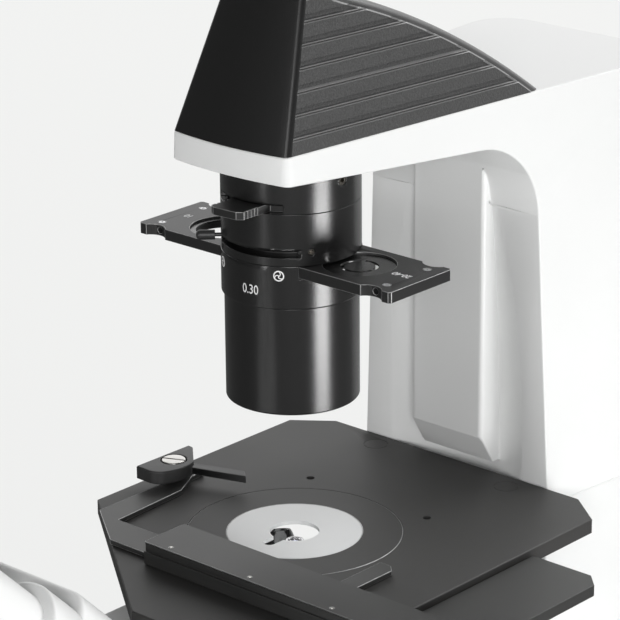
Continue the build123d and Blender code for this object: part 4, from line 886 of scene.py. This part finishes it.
def iris_mark(diameter):
    """Ring with three curved blades, a common sign for an iris, flat and in millimetres."""
    outer, inner = diameter / 2, diameter / 2 - MARK_LINE
    points, faces = [], []

    def strip(line_a, line_b):
        start = len(points)
        for pair in zip(line_a, line_b):
            for x, y in pair:
                points.append((x, y, PRINT_THICK / 2))
                points.append((x, y, -PRINT_THICK / 2))
        for k in range(len(line_a) - 1):
            a = start + 4 * k
            faces.extend([(a, a + 2, a + 6, a + 4), (a + 1, a + 5, a + 7, a + 3),
                          (a, a + 4, a + 5, a + 1), (a + 2, a + 3, a + 7, a + 6)])

    turns = [2 * math.pi * k / MARK_STEPS for k in range(MARK_STEPS + 1)]
    strip([(outer * math.cos(t), outer * math.sin(t)) for t in turns],
          [(inner * math.cos(t), inner * math.sin(t)) for t in turns])
    for blade in range(3):
        middle = []
        for k in range(BLADE_STEPS + 1):
            turn = 2 * math.pi * blade / 3 + BLADE_TURN * k / BLADE_STEPS
            reach = (inner + BLADE_OVERLAP) * k / BLADE_STEPS
            middle.append(Vector((math.cos(turn), math.sin(turn))) * reach)
        steps = [(b - a).normalized() for a, b in zip(middle, middle[1:])]
        across = [step.orthogonal() * BLADE_HALF for step in steps]
        across.append(across[-1])
        strip([p + side for p, side in zip(middle, across)],
              [p - side for p, side in zip(middle, across)])
    return mesh_of("iris_mark", points, faces, flat=True)


class MICROSCOPE_OT_condenser(Builder, bpy.types.Operator):
    """Turned condenser stack with its diaphragm ring, levers and lens"""

    bl_idname = "microscope.condenser"
    bl_label = "Condenser"

    def build(self, edges):
        edge = edges.machined
        turned = (("field_ring", 1.0), ("condenser_housing", 0.6), ("slider_ring", 1.0),
                  ("condenser_barrel", 1.0))
        for node, share in turned:
            dressed(node, "turned", edge * share, segments=2, rows=ROW)
        # Its rounded edges are lighter: wear and a painted highlight.
        dressed("field_lever", "black", edge * 0.7, segments=2, bevel_rub_and_highlight="black_rub_and_highlight")
        dressed("aperture_cap", "knob", edge * 0.6)
        dressed("aperture_ring", "black")
        coat("aperture_pin", "black")
        coat("iris_blades", "steel")
        coat("condenser_lens", "glass")
        dressed("condenser_screws", "gunmetal", SCREW_EDGE)


class MICROSCOPE_OT_marks(Builder, bpy.types.Operator):
    """Printed figures and iris marks on the condenser ring and the slider"""

    bl_idname = "microscope.marks"
    bl_label = "Figures and marks"

    def build(self, edges):
        sizes = settings("print")
        digits, narrow, angle, z = RING_FIGURES
        figure = figures(digits, sizes.ring_figure * 1000, narrow)
        wrapped(figure, MARKED_R + PRINT_LIFT, angle, z)
        new_piece(figure, "ring_figures", ["ink"], "body")
        for k, (angle, z) in enumerate(IRIS_MARKS):
            mark = iris_mark(sizes.mark * 1000)
            wrapped(mark, MARKED_R + PRINT_LIFT, angle, z)
            new_piece(mark, f"iris_mark_{k + 1}", ["ink"], "body")
        for name, digits, x, y in SLIDER_FIGURES:
            label = figures(digits, sizes.slider_figure * 1000, SLIDER_NARROW, SLIDER_BOLD)
            spot = Matrix.Translation((x, y, SLIDER_TOP + PRINT_LIFT))
            label.transform(spot @ Matrix.Rotation(math.pi, 4, "Z"))
            label.transform(Matrix.Translation(STAGE_TOP) @ Matrix.Scale(0.001, 4))
            new_piece(label, f"slider_figures_{name}", ["ink"], "slider")


# Screw head: outline in shares of its radius and height, then the slot's depth as a share
# of the height and its reach as a share of the radius.
HEAD_OUTLINE = ((1.0, 0.0), (1.0, 0.6), (0.86, 1.0), (0.5, 1.0))
SLOT_DEPTH, SLOT_REACH, CROSS_REACH, HEAD_STEPS = 0.9, 2.4, 1.2, 32

# Slider screws: half spacing in x and y, level of the foot. Cover screws: first x, pitch, y, z.
SLIDER_SCREWS = (74.2, 14.8, 151.02)
COVER_SCREWS = (-13.0, 52.7, -75.4, 11.9)


def screw_unit(radius, height, slot, crossed=False):
    """Low round screw head with a slot or a cross, foot on the origin."""
    points, faces = [], []
    for wide, high in HEAD_OUTLINE:
        r, z = radius * wide / 1000, height * high / 1000
        for k in range(HEAD_STEPS):
            t = 2 * math.pi * k / HEAD_STEPS
            points.append((r * math.cos(t), r * math.sin(t), z))
    for row in range(len(HEAD_OUTLINE) - 1):
        for k in range(HEAD_STEPS):
            a, b = row * HEAD_STEPS + k, row * HEAD_STEPS + (k + 1) % HEAD_STEPS
            faces.append((a, b, b + HEAD_STEPS, a + HEAD_STEPS))
    faces.append(tuple(range(HEAD_STEPS))[::-1])
    faces.append(tuple(range(len(points) - HEAD_STEPS, len(points))))
    head = holder_of(mesh_of("screw", points, faces))
    reach = radius * (CROSS_REACH if crossed else SLOT_REACH)
    size = Matrix.Diagonal((reach / 1000, slot / 1000, height * SLOT_DEPTH / 1000, 1))
    cuts = []
    for k in range(2 if crossed else 1):
        bpy.ops.mesh.primitive_cube_add(size=1)
        cut = bpy.context.object
        spin = Matrix.Rotation(math.radians(90 * k), 4, "Z")
        cut.data.transform(spin @ Matrix.Translation((0, 0, height / 1000)) @ size)
        carve = head.modifiers.new("slot", "BOOLEAN")
        carve.operation, carve.object, carve.solver = "DIFFERENCE", cut, "EXACT"
        cuts.append(cut)
    bpy.context.view_layer.update()
    mesh = evaluated(head, "screw_unit")
    discard(head, *cuts)
    return mesh


class MICROSCOPE_OT_slider(Builder, bpy.types.Operator):
    """Phase slider with its ring stops and cross-head screws"""

    bl_idname = "microscope.slider"
    bl_label = "Phase slider"

    def build(self, edges):
        edge = edges.machined
        # Its rounded edges are lighter: wear and a painted highlight.
        dressed("phase_slider", "black", edge * 0.8, segments=2, bevel_rub_and_highlight="black_rub_and_highlight")
        dressed("phase_annulus", "turned", STOP_EDGE, segments=2)
        across, along, foot = SLIDER_SCREWS
        corners = [(x, y) for x in (-across, across) for y in (-along, along)]
        spots = [(place(x, y, foot), 0.3 * x + y) for x, y in corners]
        unit = screw_unit(radius=2.0, height=1.25, slot=0.4, crossed=True)
        screws = repeat_at("slider_screw_set", unit, spots, "aluminium")
        new_piece(screws, "slider_screw_heads", ["aluminium"], "slider", ["slider_screws"])


# Stage

class MICROSCOPE_OT_stage_plate(Builder, bpy.types.Operator):
    """Flat stage with its round insert and light centre disc"""

    bl_idname = "microscope.stage_plate"
    bl_label = "Stage plate"

    def build(self, edges):
        edge = edges.machined
        dressed("stage_plate", "coat", edge * 0.6, segments=2)
        # Its rounded edge is light grey: wear and a painted highlight.
        dressed("stage_ring", "coat", edge, segments=2, bevel_rub_and_highlight="coat_rub_and_highlight")
        dressed("stage_disc", "disc", edge * 0.5, segments=2)
        dressed("stage_plugs", "coat", edge * 0.5, segments=2)
        dressed("y_guide", "steel", edge * 0.5)


class MICROSCOPE_OT_mechanical_stage(Builder, bpy.types.Operator):
    """Rails, belt, slider and knobs that move the specimen"""

    bl_idname = "microscope.mechanical_stage"
    bl_label = "Mechanical stage"

    def build(self, edges):
        dressed("y_carriage", "rail", edges.machined, segments=2)
        dressed("x_rail", "rail", edges.machined * 0.8, segments=2)
        # Its rounded edges are lighter: wear and a painted highlight.
        dressed("rail_cover", "rail", edges.machined * 1.2, segments=2, bevel_rub_and_highlight="black_rub_and_highlight")
        dressed("belt_drive", "rubber")
        dressed("x_slider", "steel", edges.machined)
        first, pitch, y, z = COVER_SCREWS
        spots = [(place(first + pitch * k, y, z), 0.6 + 1.3 * k) for k in range(3)]
        unit = screw_unit(radius=1.0, height=0.8, slot=0.3)
        screws = repeat_at("cover_screw_set", unit, spots, "steel")
        new_piece(screws, "cover_screw_heads", ["steel"], "stage_y", ["cover_screws"])
        dress_all(("y_knob", "x_knob"), "knob", edges.machined)


class MICROSCOPE_OT_holder(Builder, bpy.types.Operator):
    """Specimen holder with its sprung clip and pivot screw"""

    bl_idname = "microscope.holder"
    bl_label = "Specimen holder"

    def build(self, edges):
        # Its rounded edges are lighter: wear and a painted highlight.
        dressed("specimen_holder", "rail", edges.machined, segments=2, bevel_rub_and_highlight="black_rub_and_highlight")
        dressed("stage_clip", "knob", edges.moulded)
        dressed("clip_screw", "steel", CHROME_EDGE, segments=2)


# Nosepiece and focus

STATIONS, TILT, STATION_R, SHOULDER_Z = 5, math.radians(15.0), 24.0, -46.0

# Name, station, reach from the shoulder, radius of the tip, foot of the band and its colour.
OBJECTIVES = (
    ("20x", 0, 41.0, 4.6, 18.0, "green"), ("40x", 1, 41.3, 4.2, 18.0, "blue"),
    ("4x", 3, 28.0, 7.5, 14.0, "red"), ("10x", 4, 36.0, 6.2, 17.0, "yellow"))

# Inner and outer radius of a band, and its start and end above its foot.
BAND = (11.6, 12.02, 0.15, 2.25)

# Front lens: width of the tip round it, and depths of its foot, rim and crown in the tip.
TIP_RIM, LENS_FOOT, LENS_RIM, LENS_CROWN = 1.9, 1.35, 0.85, 0.6


def station(k):
    """Frame of one objective in millimetres: Z along its axis, origin on its shoulder."""
    reach = STATION_R / math.sin(TILT)
    apex = Matrix.Translation((0, 0, SHOULDER_Z - reach))
    turn = Matrix.Rotation(2 * math.pi / STATIONS * k, 4, "Z")
    spin = Matrix.Rotation(-TILT, 4, "X") @ turn @ Matrix.Rotation(TILT, 4, "X")
    return apex @ spin @ Matrix.Translation((0, 0, reach))


def band_profile(foot):
    inner, outer, start, end = BAND
    return [(inner, foot + start), (outer, foot + start), (outer, foot + end), (inner, foot + end)]


def lens_profile(reach, tip):
    """Front lens in the recess of an objective's tip."""
    edge, foot = tip - TIP_RIM, reach - LENS_FOOT
    return [(0, foot), (edge, foot), (edge * 0.7, reach - LENS_RIM), (0, reach - LENS_CROWN)]


class MICROSCOPE_OT_nosepiece(Builder, bpy.types.Operator):
    """Turret with four objectives, their colour bands and front lenses"""

    bl_idname = "microscope.nosepiece"
    bl_label = "Nosepiece"

    def build(self, edges):
        dressed("nosepiece_base", "black", edges.moulded)
        dressed("turret", "black", edges.machined)
        dressed("dust_plug", "knob", edges.machined)
        for name, k, reach, tip, foot, shade in OBJECTIVES:
            dressed("objective_" + name, "chrome", CHROME_EDGE, segments=2)
            ring = lathe(f"band_{name}", band_profile(foot), 96, station(k))
            new_piece(ring, f"band_{name}", [shade], "turret")
            front = lathe(f"front_lens_{name}", lens_profile(reach, tip), 48, station(k))
            new_piece(front, f"front_lens_{name}", ["glass"], "turret")


class MICROSCOPE_OT_focus(Builder, bpy.types.Operator):
    """Focus slide, its knobs on both sides and the light-path mirrors"""

    bl_idname = "microscope.focus"
    bl_label = "Focus drive"

    def build(self, edges):
        edge = edges.machined
        dressed("focus_way", "steel", edge)
        dressed("focus_carrier", "black", edge)
        dress_all(("coarse_knobs", "fine_knobs", "tension_ring"), "knob", edge)
        coat("path_mirrors", "mirror")


# Head

class MICROSCOPE_OT_head(Builder, bpy.types.Operator):
    """Binocular head with its tubes, eyepieces and diopter ring"""

    bl_idname = "microscope.head"
    bl_label = "Binocular head"

    def build(self, edges):
        dressed("head_housing", "paint", edges.cast * 0.6)
        for side in ("left", "right"):
            dressed(side + "_tube", "paint", edges.moulded)
            dressed(side + "_eyepiece", "knob", edges.machined)
        dressed("diopter_ring", "knob", edges.machined)


class MICROSCOPE_OT_controls(Builder, bpy.types.Operator):
    """Brightness wheel, rocker switch and mains inlet on the base"""

    bl_idname = "microscope.controls"
    bl_label = "Controls"

    def build(self, edges):
        nodes = ("brightness_dial", "rocker_switch", "power_inlet")
        dress_all(nodes, "knob", edges.machined)


# Studio

# Camera: place in metres, view angles in degrees, lens and sensor in millimetres.
CAMERA_AT = Vector((0.9387, -0.9745, 0.8562))
AZIMUTH, ELEVATION, ROLL = 42.15, 19.602, -0.491
LENS, SENSOR, NEAR_CLIP, FAR_CLIP = 173.7, 36.0, 0.05, 60.0

# Softboxes: setting with the power, place, target, and width and height, in metres.
AIM = (0.0, 0.05, 0.4)
SOFTBOXES = (
    ("key", (0.8, 0.09, 0.13), (0.0, 0.05, 0.33), (0.34, 0.22)),
    ("front", (-0.06, -1.35, 0.45), (-0.06, 0.05, 0.36), (0.4, 0.85)),
    ("fill", (1.75, -1.85, 0.95), AIM, (1.0, 0.8)),
    ("back", (-1.55, 1.7, 1.25), AIM, (4.6, 2.3)),
    ("top", (0.38, 1.54, 1.95), AIM, (1.7, 1.2)),
    ("rim", (1.2, 2.6, 0.95), AIM, (3.0, 1.8)))

# White that the camera sees behind the object and in the floor's glow.
SKY_WHITE, FLOOR_GLOW = (0.93, 0.935, 0.93, 1), (0.945, 0.95, 0.94, 1)

# Share of the floor that glows for the camera, and share that reflections see black, a painted dark
# reflection.
GLOW_SEEN, MIRROR_DARK_SHARE = 0.8, 0.75
FLOOR_SIDE = 14.0


def aimed(position, target):
    """Frame at a position whose Z points away from the target, as a lamp or camera needs."""
    back = (Vector(position) - Vector(target)).normalized()
    return Matrix.Translation(position) @ back.to_track_quat("Z", "Y").to_matrix().to_4x4()


def softbox(name, position, target, size, energy):
    lamp = bpy.data.lights.new(name, "AREA")
    lamp.shape, lamp.energy = "RECTANGLE", energy
    lamp.size, lamp.size_y = size
    box = holder_of(lamp, name)
    box.matrix_world = aimed(position, target)
    box.visible_camera = False


def floor_material():
    """Pale floor that the camera sees near white, with the shadow kept, and that reflections see
    mostly black, a painted dark reflection.
    """
    made = Finish("pale_floor")
    cloud = made.noise(1.2, 2)
    made.tint((0.57, 0.575, 0.57, 1), (0.60, 0.605, 0.60, 1), cloud)
    made.set("Roughness", 0.8 + cloud * 0.1)
    path = made.add("ShaderNodeLightPath")
    straight = Wire(made, path.outputs["Is Camera Ray"])
    # Glossy rays mix in the glow at no strength, so the floor is painted dark in reflections.
    seen = straight * GLOW_SEEN + Wire(made, path.outputs["Is Glossy Ray"]) * MIRROR_DARK_SHARE
    glow = made.wire("ShaderNodeEmission", None, {"Color": FLOOR_GLOW, "Strength": straight})
    mixed = made.wire("ShaderNodeMixShader", None, {
        "Fac": seen, 1: Wire(made, made.shader.outputs[0]), 2: glow})
    made.feed(made.tree.nodes["Material Output"].inputs["Surface"], mixed)
    return made.material


def set_camera(scene):
    az, el, roll = (math.radians(a) for a in (AZIMUTH, ELEVATION, ROLL))
    back = Vector((math.sin(az) * math.cos(el), -math.cos(az) * math.cos(el), math.sin(el)))
    right = Vector((math.cos(az), math.sin(az), 0))
    up = back.cross(right)
    across = right * math.cos(roll) + up * math.sin(roll)
    upright = up * math.cos(roll) - right * math.sin(roll)
    turned = Matrix((across, upright, back)).transposed().to_4x4()
    lens = bpy.data.cameras.new("camera")
    lens.lens, lens.sensor_width = LENS, SENSOR
    lens.clip_start, lens.clip_end = NEAR_CLIP, FAR_CLIP
    scene.camera = holder_of(lens, "camera")
    scene.camera.matrix_world = Matrix.Translation(CAMERA_AT) @ turned
    scene.view_settings.view_transform = "Standard"


def set_surround(scene, strength):
    """White world that is bright to the camera and through glass, and dim as a light."""
    world = bpy.data.worlds.new("surround")
    world.use_nodes = True
    scene.world = world
    graph = Graph(world.node_tree)
    path = graph.add("ShaderNodeLightPath")
    seen = Wire(graph, path.outputs["Is Camera Ray"])
    seen = seen.math("MAXIMUM", seen, Wire(graph, path.outputs["Is Transmission Ray"]))
    sky = world.node_tree.nodes["Background"]
    graph.feed(sky.inputs["Color"], SKY_WHITE)
    graph.feed(sky.inputs["Strength"], strength + seen * (1.0 - strength))


class MICROSCOPE_OT_studio(Builder, bpy.types.Operator):
    """Camera, softboxes, white surround and pale floor"""

    bl_idname = "microscope.studio"
    bl_label = "Studio"

    def build(self, edges):
        scene, light = bpy.context.scene, settings("light")
        set_camera(scene)
        for name, position, target, size in SOFTBOXES:
            softbox(name + "_box", position, target, size, getattr(light, name))
        set_surround(scene, light.sky)
        far = FLOOR_SIDE / 2
        corners = [(-far, -far, 0), (far, -far, 0), (far, far, 0), (-far, far, 0)]
        floor = mesh_of("floor", corners, [(0, 1, 2, 3)], flat=True)
        floor.materials.append(floor_material())
        ground = holder_of(floor, "floor")


OPERATORS = (
    MICROSCOPE_OT_studio, MICROSCOPE_OT_stand, MICROSCOPE_OT_hood, MICROSCOPE_OT_lamp,
    MICROSCOPE_OT_condenser, MICROSCOPE_OT_slider, MICROSCOPE_OT_marks,
    MICROSCOPE_OT_stage_plate, MICROSCOPE_OT_mechanical_stage, MICROSCOPE_OT_holder,
    MICROSCOPE_OT_nosepiece, MICROSCOPE_OT_focus, MICROSCOPE_OT_head, MICROSCOPE_OT_controls)


class MICROSCOPE_PT_panel(bpy.types.Panel):
    """Lists the builders of the microscope's pieces"""

    bl_idname = "MICROSCOPE_PT_panel"
    bl_label = "Inverted microscope"
    bl_space_type = "VIEW_3D"
    bl_region_type = "UI"
    bl_category = "Microscope"

    def draw(self, context):
        for name in SETTINGS:
            box = self.layout.box()
            group = getattr(context.scene, name)
            for label in group.bl_rna.properties.keys():
                if label not in ("rna_type", "name"):
                    box.prop(group, label)
        for operator in OPERATORS:
            self.layout.operator(operator.bl_idname)


def register():
    for each in (*SETTINGS.values(), *OPERATORS, MICROSCOPE_PT_panel):
        bpy.utils.register_class(each)
    for name, group in SETTINGS.items():
        setattr(bpy.types.Scene, name, bpy.props.PointerProperty(type=group))


def unregister():
    for name in SETTINGS:
        delattr(bpy.types.Scene, name)
    for each in reversed((*SETTINGS.values(), *OPERATORS, MICROSCOPE_PT_panel)):
        bpy.utils.unregister_class(each)


def main():
    register()
    for operator in OPERATORS:
        group, name = operator.bl_idname.split(".")
        getattr(getattr(bpy.ops, group), name)()


if __name__ == "__main__":
    main()
